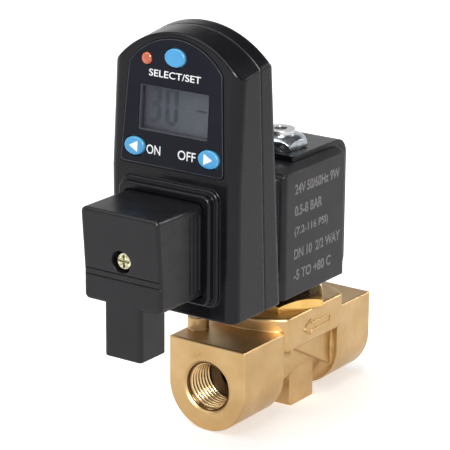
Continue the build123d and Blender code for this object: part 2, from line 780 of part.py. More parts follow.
def timer_rear_cover():
    body = (timer_outside() & half_space(False, GAP)) - timer_form(SHELL)
    for x, z in pillar_places():
        body += rod(PILLAR_R + 1.0, part_y(z) + 0.4, timer_rear - REAR_LEAN * (z - timer_low) - 1.0, x, z) \
            & timer_form(0.3)
    size = BASE_W + 1.0
    body += face_plate(size, size, 1.8, timer_rear - 5, socket_y, conn_z) & box(
        -50, 50, timer_rear - REAR_LEAN * (conn_z + size / 2 - timer_low) - 0.5, 0, 0, 200)
    inner = size - 2 * 1.8
    body -= face_plate(inner, inner, 1.0, timer_rear - 12, socket_y - 2.0, conn_z)
    body += rod(GUIDE_R, timer_front + SHELL + 0.2, socket_y - 1.0, 0, conn_z)
    body -= rod(SHANK_R + 0.45, timer_front, socket_y + 1, 0, conn_z)
    body = cut_all(body, blade_set(socket_y - 3, socket_y + 1, GAP))
    for x, z in pillar_places():
        outer_y = timer_rear - REAR_LEAN * (z - timer_low)
        body -= rod(SCREW_R + 0.3, part_y(z) - 1, outer_y + 1, x, z)
        body -= rod(SCREW_HEAD_R + 0.3, outer_y - 3.0, outer_y + 1, x, z)
    return body


def case_screws():
    screws = []
    for x, z in pillar_places():
        outer_y = timer_rear - REAR_LEAN * (z - timer_low)
        screw = rod(SCREW_R, part_y(z) - 7.0, outer_y - 2.0, x, z)
        screw += rod(SCREW_HEAD_R, outer_y - 3.0, outer_y - 1.4, x, z)
        slot = box(x - 0.4, x + 0.4, outer_y - 2.2, outer_y, z - 1.6, z + 1.6)
        slot += box(x - 1.6, x + 1.6, outer_y - 2.2, outer_y, z - 0.4, z + 0.4)
        screws.append(screw - slot)
    return joined(screws)


# Panel pieces
def front_label():
    plate = Pos(0, 0, -LABEL_SINK) * extrude(label_outline(), amount=LABEL_T)
    return cut_all(on_panel(plate), panel_openings())


def lcd_window():
    return panel_plate(lcd_w - 0.1, LCD_H - 0.1, 0.55, 0, LCD_V, -SHELL + 0.1, 0.05)


def lcd_module():
    glass = panel_plate(lcd_w + 3.6, LCD_H + 3.6, 0.5, 0, LCD_V, -SHELL - 2.6, -SHELL - GAP)
    frame = panel_plate(lcd_w + 1.2, LCD_H + 1.2, 0.5, 0, LCD_V, -BOARD_BACK, -SHELL - 2.6)
    return glass + frame


def status_led():
    """Round lamp with a domed tip."""
    stem = panel_post(LED_R, led_x, LED_V, -BOARD_BACK, 0.2)
    dome = on_panel(Pos(led_x, LED_V, 0.2) * Sphere(LED_R))
    return stem + (dome & panel_post(LED_R + 1, led_x, LED_V, 0.2, 1.1))


def key(x, v):
    """Push key: cap, retaining flange behind the shell and the tip over its switch."""
    cap = oval(0, x, v, -SHELL - 1.0, KEY_PROUD)
    cap = fillet(cap.faces().sort_by(Axis.Z)[-1].edges(), 0.45)
    cap += oval(0.9, x, v, -SHELL - 1.0, -SHELL - 0.2, 0.2)
    cap += Pos(x, v, -SHELL - 2.3) * Cylinder(1.6, 1.5, align=(Align.CENTER, Align.CENTER, Align.MIN))
    return on_panel(cap)


def tact_switches():
    """Three square push switches on the main board, 0.1 mm short of a pressed key."""
    top = -SHELL - 2.3 - KEY_TRAVEL - GAP
    switches = []
    for x, v in key_places():
        body = panel_plate(6.0, 6.0, 0.4, x, v, -BOARD_BACK, top - 0.7)
        switches.append(body + panel_post(1.7, x, v, top - 0.7, top))
    return joined(switches)


def main_board():
    """Board behind the panel, shaped to the arched top and notched for the pillars."""
    half = timer_half - SHELL - 2.0
    top_half = timer_half - 14.8
    top = KEY_TOP_V + 3.2
    right = [(half, 1.6), (half, 29.0), (top_half, top)]
    left = [(-u, v) for u, v in reversed(right)]
    outline = Polyline(right + left, close=True)
    plate = on_panel(Pos(0, 0, -BOARD_BACK - BOARD_T) * extrude(make_face(outline), amount=BOARD_T))
    for x, z in pillar_places():
        plate -= rod(PILLAR_R + 0.5, timer_front, timer_rear, x, z)
    return plate


def power_board():
    half = timer_half - SHELL - 0.8
    low = timer_low + SHELL + 2 * PILLAR_R + 1.0
    plate = box(-half, half, board_y, board_y + BOARD_T, low, bend_z - 2.2)
    plate -= rod(GUIDE_R + FREE, board_y - 1, board_y + 3, 0, conn_z)
    return cut_all(plate, blade_set(board_y - 1, board_y + 3, 0.02))


def front_blades():
    return joined(blade_set(pocket_y - BLADE_OUT - 0.6, board_y + BOARD_T))


def rear_sockets():
    return joined(clip_set(socket_y - 2.2 - CLIP_LEN, socket_y - 2.2))


def relay():
    y = board_y + BOARD_T
    body = box(RELAY_X, timer_half - PLACE_GAP, y, y + RELAY_D, conn_z + 5.2, header_low - 0.5)
    return fillet(body.edges(), 0.5)


def transformer():
    """Laminated core with its winding window."""
    y = board_y + BOARD_T
    outer = PLACE_GAP - 0.2 - timer_half
    inner = -RELAY_X - 0.2
    core = box(outer, inner, y, y + CORE_T, conn_z + 5.2, header_low - 0.5)
    limb = box(outer + 3.5, inner - 3.5, y, y + WINDING_D, conn_z + 7.2, header_low - 2.5)
    return core + fillet(limb.edges().filter_by(Axis.Y), 1.5)


def capacitor():
    y = board_y + BOARD_T
    can = rod(CAN_R, y, y + CAN_D, CAN_R + 6.2 - timer_half, conn_z - BLADE_DOWN - 1.5)
    return fillet(can.edges().filter_by(GeomType.CIRCLE).sort_by(Axis.Y)[-1:], 0.6)


def board_header():
    y = board_y + BOARD_T
    return box(-7.6, 7.6, y, y + 1.2, header_low, bend_z + 3.0)


# Plug
def front_gasket():
    plate = face_plate(PLUG_W, PLUG_H, 2.0, plug_rear, pocket_y, plug_z)
    hole = BASE_W - 2 * GASKET_WALL
    return plate - face_plate(hole, hole, 1.0, plug_rear - 1, pocket_y + 1, conn_z)


def plug_housing():
    half = PLUG_W / 2
    points = [(plug_rear, plug_low), (plug_front, plug_low), (plug_front, plug_low + PLUG_BREAK)]
    points += [(plug_front - PLUG_LEAN, plug_high), (plug_rear, plug_high)]
    body = side_prism(points, half)
    body = fillet(body.edges().filter_by(Axis.Y), PLUG_ROUND)
    front_edges = body.edges().filter_by(lambda e: e.center().Y < plug_front + 0.3 and e.length > 1.0)
    across = front_edges.filter_by(lambda e: abs(e.center().X) < 0.01)
    break_line = across.filter_by(lambda e: plug_low + 1 < e.center().Z < plug_high - 1)
    body = fillet([e for e in front_edges if e not in break_line], 1.1)
    stub = box(-STUB_W / 2, STUB_W / 2, plug_front, plug_front + STUB_D, stub_low, plug_low + 3.0)
    stub = fillet(stub.edges().filter_by(Axis.Z), 1.4)
    stub = fillet(stub.faces().sort_by(Axis.Z)[0].edges(), 0.6)
    body += stub
    seam = PLUG_LEAN / (PLUG_H - PLUG_BREAK)
    for z in (plug_low + PLUG_BREAK - 1.1, plug_low + PLUG_BREAK + 0.9):
        y = plug_front - max(0.0, z - plug_low - PLUG_BREAK) * seam
        body -= box(-half - 1, half + 1, y - 1, y + 0.4, z - 0.25, z + 0.25)
    for step in range(3):
        y = plug_rear - 1.9 - 2.2 * step
        for side in (-1, 1):
            x = side * half
            body -= box(x - 0.35, x + 0.35, y - 0.45, y + 0.45, plug_low + 3.0, plug_high - 3.0)
    inside = PLUG_WALL
    pocket = box(-half + inside, half - inside, plug_front + PLUG_FACE, plug_rear + 1,
                 plug_low + inside, plug_high - inside)
    pocket = fillet(pocket.edges().filter_by(Axis.Y), 1.0)
    body -= pocket - rod(COLUMN_R, plug_front, plug_rear - 0.4, 0, conn_z)
    body -= rod(RECESS_R, plug_front - 5, recess_y, 0, conn_z)
    body -= rod(SHANK_R + 0.35, plug_front, plug_rear + 1, 0, conn_z)
    body -= post(STUB_BORE_R, stub_low - 1, plug_low - 1.5, 0, stub_y)
    return body - post(STUB_BORE_R - 1.0, plug_low - 2, plug_low + inside + 0.5, 0, stub_y)


def terminal_block():
    """Insert that carries the three contacts, open around the screw column."""
    half = PLUG_W / 2 - PLUG_WALL - 0.2
    front = plug_rear - TERMINAL_D
    wall = PLUG_WALL + 0.2
    body = box(-half, half, front, plug_rear - 0.4, plug_low + wall, plug_high - wall)
    body = fillet(body.edges().filter_by(Axis.Y), 0.9)
    body -= rod(COLUMN_R + 0.2, front - 1, plug_rear + 1, 0, conn_z)
    body = cut_all(body, blade_set(front + 1.6, plug_rear + 1, CLIP_WALL + 0.1))
    for x, z in contact_places():
        body -= rod(1.35, front - 1, front + 3, x, z)
    return body


def contact_places():
    """Centres of the three contacts as (x, z)."""
    return [(-BLADE_SIDE, conn_z), (BLADE_SIDE, conn_z), (0, conn_z - BLADE_DOWN)]


def plug_contacts():
    """Spring sockets closed at the screw end."""
    front = plug_rear - TERMINAL_D + 1.8
    contacts = []
    inside = blade_set(front + 1.2, plug_rear, 0.05)
    for outer, inner in zip(blade_set(front, plug_rear - 0.8, CLIP_WALL), inside):
        contacts.append(outer - inner)
    return joined(contacts)


def clamp_screws():
    """Slotted screws that clamp the cores of the cable."""
    front = plug_rear - TERMINAL_D
    screws = []
    for x, z in contact_places():
        screw = rod(2.0, front - 1.4, front - 0.05, x, z) + rod(1.25, front - 0.05, front + 1.7, x, z)
        screws.append(screw - box(x - 2.5, x + 2.5, front - 1.5, front - 0.9, z - 0.3, z + 0.3))
    return joined(screws)


def screw_washer():
    washer = rod(RECESS_R - 0.45, head_y + HEAD_T, recess_y, 0, conn_z)
    return washer - rod(SHANK_R + 0.1, head_y, recess_y + 1, 0, conn_z)


def plug_screw():
    """Long screw through plug and timer into the coil, with a crossed head."""
    head = rod(HEAD_R, head_y, head_y + HEAD_T, 0, conn_z)
    head = fillet(head.edges().filter_by(GeomType.CIRCLE).sort_by(Axis.Y)[:1], 0.6)
    head -= box(-2.1, 2.1, head_y - 1, head_y + 1.2, conn_z - 0.35, conn_z + 0.35)
    head -= box(-0.35, 0.35, head_y - 1, head_y + 1.2, conn_z - 2.1, conn_z + 2.1)
    return head + rod(SHANK_R, head_y + HEAD_T, screw_end - 0.4, 0, conn_z)


def cable_grommet():
    top = plug_low - 1.5 - GAP
    return ring(STUB_BORE_R - GAP, CABLE_R, top - GROMMET_H, top, 0, stub_y)


def gland_washer():
    top = plug_low - 1.5 - GAP - GROMMET_H
    return ring(STUB_BORE_R - GAP, CABLE_R + 0.6, top - 0.8, top, 0, stub_y)


def gland_nut():
    """Round nut with a hexagon socket, screwed into the stub."""
    top = plug_low - 1.5 - GAP - GROMMET_H - 0.8
    body = post(STUB_BORE_R - 0.05, stub_low + 0.3, top, 0, stub_y)
    body -= post(CABLE_R + 0.8, stub_low - 1, top + 1, 0, stub_y)
    socket = Pos(0, stub_y, stub_low - 1) * extrude(RegularPolygon(CABLE_R + 1.7, 6), amount=3.4)
    return body - socket


def every_piece():
    """All pieces by node name."""
    pieces = {
        "valve_body": valve_body(),
        "diaphragm_rim": diaphragm_rim(),
        "diaphragm_skirt": diaphragm_skirt(),
        "diaphragm_pad": diaphragm_pad(),
        "diaphragm_disc": diaphragm_disc(),
        "diaphragm_spring": diaphragm_spring(),
        "bonnet": bonnet(),
        "armature_tube": armature_tube(),
        "fixed_core": fixed_core(),
        "shading_ring": shading_ring(),
        "plunger": plunger(),
        "plunger_seal": plunger_seal(),
        "plunger_spring": plunger_spring(),
        "coil_moulding": coil_moulding(),
        "coil_bobbin": coil_bobbin(),
        "coil_winding": coil_winding(),
        "coil_yoke": coil_yoke(),
        "coil_blades": coil_blades(),
        "coil_insert": coil_insert(),
        "tube_seal": tube_seal(),
        "nut_washer": nut_washer(),
        "coil_nut": coil_nut(),
        "rear_gasket": rear_gasket(),
        "timer_front_shell": timer_front_shell(),
        "timer_rear_cover": timer_rear_cover(),
        "case_screws": case_screws(),
        "front_label": front_label(),
        "lcd_window": lcd_window(),
        "lcd_module": lcd_module(),
        "status_led": status_led(),
        "tact_switches": tact_switches(),
        "main_board": main_board(),
        "power_board": power_board(),
        "front_blades": front_blades(),
        "rear_sockets": rear_sockets(),
        "relay": relay(),
        "transformer": transformer(),
        "capacitor": capacitor(),
        "board_header": board_header(),
        "front_gasket": front_gasket(),
        "plug_housing": plug_housing(),
        "terminal_block": terminal_block(),
        "plug_contacts": plug_contacts(),
        "clamp_screws": clamp_screws(),
        "screw_washer": screw_washer(),
        "plug_screw": plug_screw(),
        "cable_grommet": cable_grommet(),
        "gland_washer": gland_washer(),
        "gland_nut": gland_nut(),
    }
    for name, (x, v) in zip(("test_key", "on_key", "off_key"), key_places()):
        pieces[name] = key(x, v)
    return pieces


os.makedirs("parts", exist_ok=True)
for name, shape in every_piece().items():
    export_step(shape, f"parts/{name}.step")
print("pieces written")
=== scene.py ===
# %% [markdown]
# # An automatic drain valve, finished in Blender
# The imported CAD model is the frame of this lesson. Every piece is already at its real size and
# place there, so nothing is fitted here: this notebook adds the finishes, the threads, the print
# and the small raised marks that the CAD leaves out, and makes the keys, the lamp and the springs
# again in a finer shape.

# %% Load the frame
from math import atan, cos, pi, radians, sin

import bpy
import numpy as np
from mathutils import Matrix, Vector


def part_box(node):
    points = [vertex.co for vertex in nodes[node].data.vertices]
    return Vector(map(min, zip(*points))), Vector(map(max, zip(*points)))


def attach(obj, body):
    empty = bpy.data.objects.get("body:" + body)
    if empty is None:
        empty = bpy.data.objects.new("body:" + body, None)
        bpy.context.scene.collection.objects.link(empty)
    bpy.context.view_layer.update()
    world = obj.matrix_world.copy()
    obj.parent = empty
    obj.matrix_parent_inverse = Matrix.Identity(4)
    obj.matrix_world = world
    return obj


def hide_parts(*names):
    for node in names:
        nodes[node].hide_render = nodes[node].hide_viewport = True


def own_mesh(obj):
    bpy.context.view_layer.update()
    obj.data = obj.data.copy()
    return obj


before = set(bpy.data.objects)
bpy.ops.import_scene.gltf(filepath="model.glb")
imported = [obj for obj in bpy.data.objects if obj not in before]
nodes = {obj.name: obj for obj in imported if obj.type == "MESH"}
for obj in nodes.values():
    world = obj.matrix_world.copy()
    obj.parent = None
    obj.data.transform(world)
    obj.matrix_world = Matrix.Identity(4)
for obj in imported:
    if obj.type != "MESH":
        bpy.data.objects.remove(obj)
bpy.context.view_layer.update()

# %% [markdown]
# ## The camera
# A product photograph like this one is taken from far away with a long lens, so that upright edges
# stay nearly parallel. The camera could be placed by eye, but matching corner after corner by hand
# never ends. Here its turn, height, roll and distance are named numbers, and the lens follows from
# the focal length in pixels of a picture 450 pixels wide.

# %% Camera
MM = 0.001
YAW = radians(34.750)
ELEVATION = radians(17.290)
ROLL = radians(0.438)
DISTANCE = 761.85 * MM
AIM = np.array([-6.843, -22.096, 64.98]) * MM
FOCAL_PIXELS = 2301.6
PICTURE_PIXELS = 450
SENSOR_WIDTH = 36.0

back = np.array([sin(YAW) * cos(ELEVATION), -cos(YAW) * cos(ELEVATION), sin(ELEVATION)])
level = np.array([cos(YAW), sin(YAW), 0.0])
upward = np.cross(back, level)
right = level * cos(ROLL) + upward * sin(ROLL)
upward = upward * cos(ROLL) - level * sin(ROLL)

camera_data = bpy.data.cameras.new("camera")
camera_data.sensor_width = SENSOR_WIDTH
camera_data.lens = FOCAL_PIXELS / PICTURE_PIXELS * SENSOR_WIDTH
camera_data.clip_start = 0.05
camera_data.clip_end = 50.0
camera = bpy.data.objects.new("camera", camera_data)
place = Matrix(np.column_stack([right, upward, back]).tolist()).to_4x4()
place.translation = Vector(AIM + back * DISTANCE)
camera.matrix_world = place
scene = bpy.context.scene
scene.collection.objects.link(camera)
scene.camera = camera
print("lens", round(camera_data.lens, 2), "mm")

# %% [markdown]
# ## Light and floor
# Black plastic shows little but what it reflects. Upright faces seen from above reflect the white
# floor, so they come out dark grey; a sloping top reflects what hangs over the set, and stays black
# only if that is dark. A world of one grey would light all faces alike. So the world is white round
# the horizon and dark above it, and one very large lamp overhead whitens the floor. Two smaller
# boxes are there for gloss alone: they draw lines on edges and threads but light no matt surface,
# so they cast no shadow on the floor.

# %% Light and floor
HORIZON_STRENGTH = 1.0
CEILING_STRENGTH = 0.18
HORIZON_TOP, CEILING_START = sin(radians(18)), sin(radians(34))

scene.view_settings.view_transform = "Standard"
world = bpy.data.worlds.new("studio")
world.use_nodes = True
sky = world.node_tree
direction = sky.nodes.new("ShaderNodeTexCoord")
height = sky.nodes.new("ShaderNodeSeparateXYZ")
fall = sky.nodes.new("ShaderNodeMapRange")
fall.interpolation_type = "SMOOTHSTEP"
for key, number in {"From Min": HORIZON_TOP, "From Max": CEILING_START, "To Min": HORIZON_STRENGTH,
                    "To Max": CEILING_STRENGTH}.items():
    fall.inputs[key].default_value = number
sky.links.new(direction.outputs["Generated"], height.inputs["Vector"])
sky.links.new(height.outputs["Z"], fall.inputs["Value"])
sky.links.new(fall.outputs["Result"], sky.nodes["Background"].inputs["Strength"])
sky.nodes["Background"].inputs["Color"].default_value = (1.0, 0.997, 0.995, 1.0)
scene.world = world
middle = Vector(AIM)


def soft_box(name, azimuth, elevation, distance, size, power, only_gloss=False):
    """Square area lamp that faces the object from an azimuth and an elevation in degrees."""
    lamp = bpy.data.lights.new(name, "AREA")
    lamp.shape = "SQUARE"
    lamp.size = size
    lamp.energy = power
    a, e = radians(azimuth), radians(elevation)
    away = Vector((sin(a) * cos(e), -cos(a) * cos(e), sin(e)))
    holder = bpy.data.objects.new(name, lamp)
    holder.location = middle + away * distance
    holder.rotation_mode = "QUATERNION"
    holder.rotation_quaternion = away.to_track_quat("Z", "Y")
    holder.visible_diffuse = not only_gloss
    scene.collection.objects.link(holder)


soft_box("overhead", -35, 66, 2.6, 2.7, 67.0)
soft_box("edge_light", 42, 38, 1.3, 0.50, 36.0, only_gloss=True)
soft_box("rim_light", 150, 25, 1.4, 0.36, 5.0, only_gloss=True)

FLOOR_HALF = 12.0
FLOOR_DROP = 0.05 * MM
floor_mesh = bpy.data.meshes.new("floor")
corners = np.array([[-1, -1], [1, -1], [1, 1], [-1, 1]]) * FLOOR_HALF
floor_mesh.from_pydata([(x, y, -FLOOR_DROP) for x, y in corners], [], [(0, 1, 2, 3)])
floor = bpy.data.objects.new("floor", floor_mesh)
scene.collection.objects.link(floor)
print("lamps", len(bpy.data.lights), "floor", floor.name)

# %% [markdown]
# ## A small kit for finishes
# Each finish starts as one Principled shader with plain numbers on its own sockets. What differs
# over a surface, such as the grain of a mould or the tone of a casting, is then added by short
# helpers. All patterns use Object coordinates, which are metres here, so a grain of 0.4 mm is a
# noise of scale 1 / 0.0004.

# %% Finish helpers
SOCKETS = {"roughness": "Roughness", "metallic": "Metallic", "specular": "Specular IOR Level",
           "coat": "Coat Weight", "transmission": "Transmission Weight", "alpha": "Alpha",
           "glow": "Emission Strength"}
BEVEL_SAMPLES = 8


def finish(name, colour, **values):
    """Material with one Principled shader: a colour and named numbers on its sockets."""
    material = bpy.data.materials.new(name)
    material.use_nodes = True
    shader = material.node_tree.nodes["Principled BSDF"]
    shader.inputs["Base Color"].default_value = (*colour, 1.0)
    for key, value in values.items():
        shader.inputs[SOCKETS[key]].default_value = value
    return material


def add_node(material, kind, **settings):
    """New shader node; settings are its properties, or its inputs by name."""
    node = material.node_tree.nodes.new(kind)
    for key, value in settings.items():
        if hasattr(node, key):
            setattr(node, key, value)
        else:
            node.inputs[key.replace("_", " ")].default_value = value
    return node


def wire(material, source, target):
    """Link from an output socket to an input socket."""
    material.node_tree.links.new(source, target)


def shader_of(material):
    return material.node_tree.nodes["Principled BSDF"]


def object_space(material, centre=(0, 0, 0), stretch=(1, 1, 1)):
    """Object coordinates moved so that a centre is the zero point, and scaled per axis."""
    coordinates = add_node(material, "ShaderNodeTexCoord")
    mapping = add_node(material, "ShaderNodeMapping", vector_type="POINT")
    mapping.inputs["Location"].default_value = [-c * s for c, s in zip(centre, stretch)]
    mapping.inputs["Scale"].default_value = stretch
    wire(material, coordinates.outputs["Object"], mapping.inputs["Vector"])
    return mapping.outputs["Vector"]


def noise(material, size, detail=3.0, space=None):
    """Noise value whose features are about size metres wide."""
    texture = add_node(material, "ShaderNodeTexNoise", Scale=1 / size, Detail=detail)
    wire(material, space or object_space(material), texture.inputs["Vector"])
    return texture.outputs["Fac"]


def spread(material, value, low, high, source_low=0.3, source_high=0.7):
    """Maps the middle of a noise value to a range."""
    node = add_node(material, "ShaderNodeMapRange")
    numbers = {"From Min": source_low, "From Max": source_high, "To Min": low, "To Max": high}
    for key, number in numbers.items():
        node.inputs[key].default_value = number
    wire(material, value, node.inputs["Value"])
    return node.outputs["Result"]


def calculate(material, operation, *values):
    """Result of a Math node whose inputs are sockets or plain numbers."""
    node = add_node(material, "ShaderNodeMath", operation=operation)
    for socket, value in zip(node.inputs, values):
        if isinstance(value, float):
            socket.default_value = value
        else:
            wire(material, value, socket)
    return node.outputs["Value"]


def tones(material, value, colours, low=0.3, high=0.7):
    """Base colour that runs through a list of tones as a value goes from low to high."""
    ramp = add_node(material, "ShaderNodeValToRGB").color_ramp
    node = material.node_tree.nodes[-1]
    while len(ramp.elements) < len(colours):
        ramp.elements.new(0.5)
    for i, (element, colour) in enumerate(zip(ramp.elements, colours)):
        element.position = low + (high - low) * i / (len(colours) - 1)
        element.color = (*colour, 1.0)
    wire(material, value, node.inputs["Fac"])
    wire(material, node.outputs["Color"], shader_of(material).inputs["Base Color"])


def relief(material, *layers, edge=0.0):
    """Bump from (value, depth in metres) layers on top of normals that are eased over edges by a radius."""
    normal = None
    if edge:
        eased = add_node(material, "ShaderNodeBevel", samples=BEVEL_SAMPLES, Radius=edge)
        normal = eased.outputs["Normal"]
    for value, depth in layers:
        bump = add_node(material, "ShaderNodeBump", Strength=1.0, Distance=depth)
        wire(material, value, bump.inputs["Height"])
        if normal:
            wire(material, normal, bump.inputs["Normal"])
        normal = bump.outputs["Normal"]
    wire(material, normal, shader_of(material).inputs["Normal"])


def roughness_from(material, value, low, high):
    wire(material, spread(material, value, low, high), shader_of(material).inputs["Roughness"])


def put_on(material, *names):
    """Gives CAD nodes their finish."""
    for name in names:
        mesh = nodes[name].data
        mesh.materials.clear()
        mesh.materials.append(material)
    print(material.name, "on", ", ".join(names))


# %% [markdown]
# ## The floor's finish
# Pale matt paper with a breath of unevenness on a light table, so it glows a little by itself. That
# thins the shadow to a faint one under the object, as such tables do for a catalogue picture.

# %% Floor paper
paper = finish("floor_paper", (0.93, 0.93, 0.93), roughness=0.9, specular=0.1, glow=0.48)
shader_of(paper).inputs["Emission Color"].default_value = (1.0, 1.0, 1.0, 1.0)
tones(paper, noise(paper, 0.3), [(0.92, 0.92, 0.92), (0.94, 0.94, 0.94)])
floor_mesh.materials.append(paper)

# %% [markdown]
# ## Cast and machined brass
# The body is a casting that has been blasted: a satin skin with a fine sandy grain and slow changes
# of tone, warmer in one place and paler in another. The two port faces are turned afterwards, so
# they carry fine rings round the bore. One material can hold both, because the port faces are the
# only surfaces that look straight along Y at the two ends. Inside the ports the metal is painted
# dull dark brown as painted shade: no outer surface lies that near to their axis, so the distance
# to it sets the tone.

# %% Cast brass
POT_OVER_BLOCKS = 4.5 * MM
body_low, body_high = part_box("valve_body")
PORT_Z = (body_high.z - POT_OVER_BLOCKS) / 2
BRASS_TONES = [(0.455, 0.295, 0.128), (0.50, 0.330, 0.152), (0.545, 0.368, 0.186)]

PORT_R = 8.33 * MM
# Painted shade: dark brown tone for the casting inside the port bores.
BORE_SHADE_TONE = (0.085, 0.048, 0.022)
RING_SPACING, RING_WAVER = 2.2 * MM, 0.6
STRAIGHT_ALONG_Y = 0.999


def from_port_axis(material, near, far):
    """0 to 1 as the distance to the ports' common axis goes from near to far."""
    distance = add_node(material, "ShaderNodeVectorMath", operation="LENGTH")
    wire(material, object_space(material, (0, 0, PORT_Z), (1, 0, 1)), distance.inputs[0])
    return spread(material, distance.outputs["Value"], 0, 1, near, far)


cast_brass = finish("cast_brass", BRASS_TONES[1], roughness=0.4, metallic=1.0)
# outside is 0 in the bores, where the painted shade tone goes, and the random tone elsewhere.
outside = calculate(cast_brass, "MULTIPLY", noise(cast_brass, 9 * MM, 4.0),
                    from_port_axis(cast_brass, PORT_R + 0.05 * MM, PORT_R + 0.2 * MM))
tones(cast_brass, outside, [BORE_SHADE_TONE, *BRASS_TONES], 0.1, 0.7)
sand = noise(cast_brass, 0.35 * MM, 4.0)
cloud = noise(cast_brass, 3.5 * MM, 3.0)
roughness_from(cast_brass, cloud, 0.35, 0.43)
rings = add_node(cast_brass, "ShaderNodeTexWave", wave_type="RINGS", rings_direction="Y")
rings.inputs["Scale"].default_value = 1 / RING_SPACING
rings.inputs["Distortion"].default_value = RING_WAVER
wire(cast_brass, object_space(cast_brass, (0, 0, PORT_Z)), rings.inputs["Vector"])
geometry = add_node(cast_brass, "ShaderNodeNewGeometry")
facing = add_node(cast_brass, "ShaderNodeSeparateXYZ")
wire(cast_brass, geometry.outputs["Normal"], facing.inputs["Vector"])
square_on = calculate(cast_brass, "ABSOLUTE", facing.outputs["Y"])
turned_face = calculate(cast_brass, "GREATER_THAN", square_on, STRAIGHT_ALONG_Y)
ring_height = calculate(cast_brass, "MULTIPLY", rings.outputs["Fac"], turned_face)
relief(cast_brass, (sand, 0.018 * MM), (cloud, 0.025 * MM), (ring_height, 0.006 * MM), edge=0.8 * MM)
put_on(cast_brass, "valve_body")

# %% [markdown]
# ## Turned brass
# The bonnet, the pilot disc and the insert come from bar stock on a lathe: brighter than the
# casting, with rings round the tube axis. A wave texture in rings about Z gives the tool marks.

# %% Turned brass
LATHE_SPACING = 1.6 * MM
turned_brass = finish("turned_brass", (0.86, 0.58, 0.22), roughness=0.24, metallic=1.0)
tones(turned_brass, noise(turned_brass, 6 * MM), [(0.66, 0.40, 0.12), (0.78, 0.50, 0.17)])
lathe = add_node(turned_brass, "ShaderNodeTexWave", wave_type="RINGS", rings_direction="Z")
lathe.inputs["Scale"].default_value = 1 / LATHE_SPACING
wire(turned_brass, object_space(turned_brass), lathe.inputs["Vector"])
relief(turned_brass, (lathe.outputs["Fac"], 0.004 * MM), (noise(turned_brass, 0.5 * MM), 0.006 * MM),
       edge=0.3 * MM)
put_on(turned_brass, "bonnet", "diaphragm_disc", "coil_insert")

# %% [markdown]
# ## Black mouldings
# Five black plastics meet here and none is the same black. The timer's front shell is glossy with a
# faint violet sheen, its rear cover is a shade darker with softer edges, the plug is satin with a
# spark-eroded grain, the coil is resin with a slightly cloudy skin, and the small inner parts are
# plain. A single black would melt them into one lump, so each gets its own tone, gloss and grain
# from the same small function, which also makes the natural nylon.


# %% Black mouldings
FLOW_DEPTH = 0.01 * MM


def moulding(name, dark, light, gloss, grain_size, grain_depth, edge=0.3 * MM, specular=0.5):
    """Moulded plastic: slow tone changes, uneven gloss, and a grain over a faint flow of the resin."""
    material = finish(name, light, specular=specular)
    slow = noise(material, 14 * MM, 2.0)
    tones(material, slow, [dark, light])
    roughness_from(material, noise(material, 5 * MM, 3.0), gloss - 0.05, gloss + 0.06)
    relief(material, (slow, FLOW_DEPTH), (noise(material, grain_size, 2.0), grain_depth), edge=edge)
    return material


housing_black = moulding("housing_black", (0.0052, 0.0048, 0.0064), (0.0072, 0.0064, 0.0084), 0.24, 0.5 * MM,
                         0.003 * MM, edge=0.7 * MM, specular=0.20)
cover_black = moulding("cover_black", (0.0050, 0.0046, 0.0060), (0.0068, 0.0060, 0.0080), 0.25, 0.5 * MM,
                       0.003 * MM, edge=1.5 * MM, specular=0.19)
plug_black = moulding("plug_black", (0.0066, 0.0063, 0.0080), (0.0096, 0.0091, 0.0112), 0.34, 0.45 * MM,
                      0.016 * MM, edge=0.5 * MM, specular=0.26)
coil_black = moulding("coil_black", (0.0125, 0.0113, 0.0136), (0.0195, 0.0172, 0.0205), 0.34, 0.7 * MM,
                      0.010 * MM, edge=0.9 * MM, specular=0.21)
inner_black = moulding("inner_black", (0.014, 0.014, 0.014), (0.022, 0.022, 0.022), 0.5, 0.4 * MM,
                       0.006 * MM)
nylon = moulding("natural_nylon", (0.55, 0.52, 0.43), (0.66, 0.63, 0.54), 0.42, 0.8 * MM, 0.006 * MM)
put_on(housing_black, "timer_front_shell")
put_on(cover_black, "timer_rear_cover")
put_on(plug_black, "plug_housing", "gland_nut")
put_on(coil_black, "coil_moulding")
put_on(inner_black, "terminal_block", "tact_switches", "board_header", "relay")
put_on(nylon, "coil_bobbin", "screw_washer")

# %% [markdown]
# ## Rubber
# Gaskets, seals and the diaphragm are matt, a little dusty and slightly mottled. Rubber has almost
# no mirror, so roughness is high and the specular level low.

# %% Rubber
rubber = finish("black_rubber", (0.018, 0.018, 0.018), roughness=0.75, specular=0.3)
tones(rubber, noise(rubber, 2.5 * MM, 4.0), [(0.014, 0.014, 0.014), (0.028, 0.028, 0.027)])
relief(rubber, (noise(rubber, 0.3 * MM), 0.01 * MM))
put_on(rubber, "diaphragm_rim", "diaphragm_skirt", "diaphragm_pad", "plunger_seal", "tube_seal",
       "rear_gasket", "front_gasket", "cable_grommet")

# %% [markdown]
# ## Steels and other metals
# Stainless parts show fine rings from the lathe, zinc-plated ones are brighter and cloudy, and the
# long screw's yellow film is patchy, its near-black and pale patches partly painted glints and
# painted shade. One function makes them all from a colour, a gloss and the stretch of its streaks:
# noise that is squeezed along one axis becomes streaks along the others.


# %% Metals
def metal(name, dark, light, gloss, streak=(1, 1, 1), streak_size=1.2 * MM, depth=0.004 * MM,
          patch=3 * MM):
    """Bare or plated metal with cloudy tone and streaks along the axes that streak leaves short."""
    material = finish(name, light, metallic=1.0)
    tones(material, noise(material, patch, 4.0), [dark, light])
    lines = noise(material, streak_size, 3.0, object_space(material, stretch=streak))
    roughness_from(material, lines, gloss - 0.06, gloss + 0.08)
    relief(material, (lines, depth), edge=0.25 * MM)
    return material


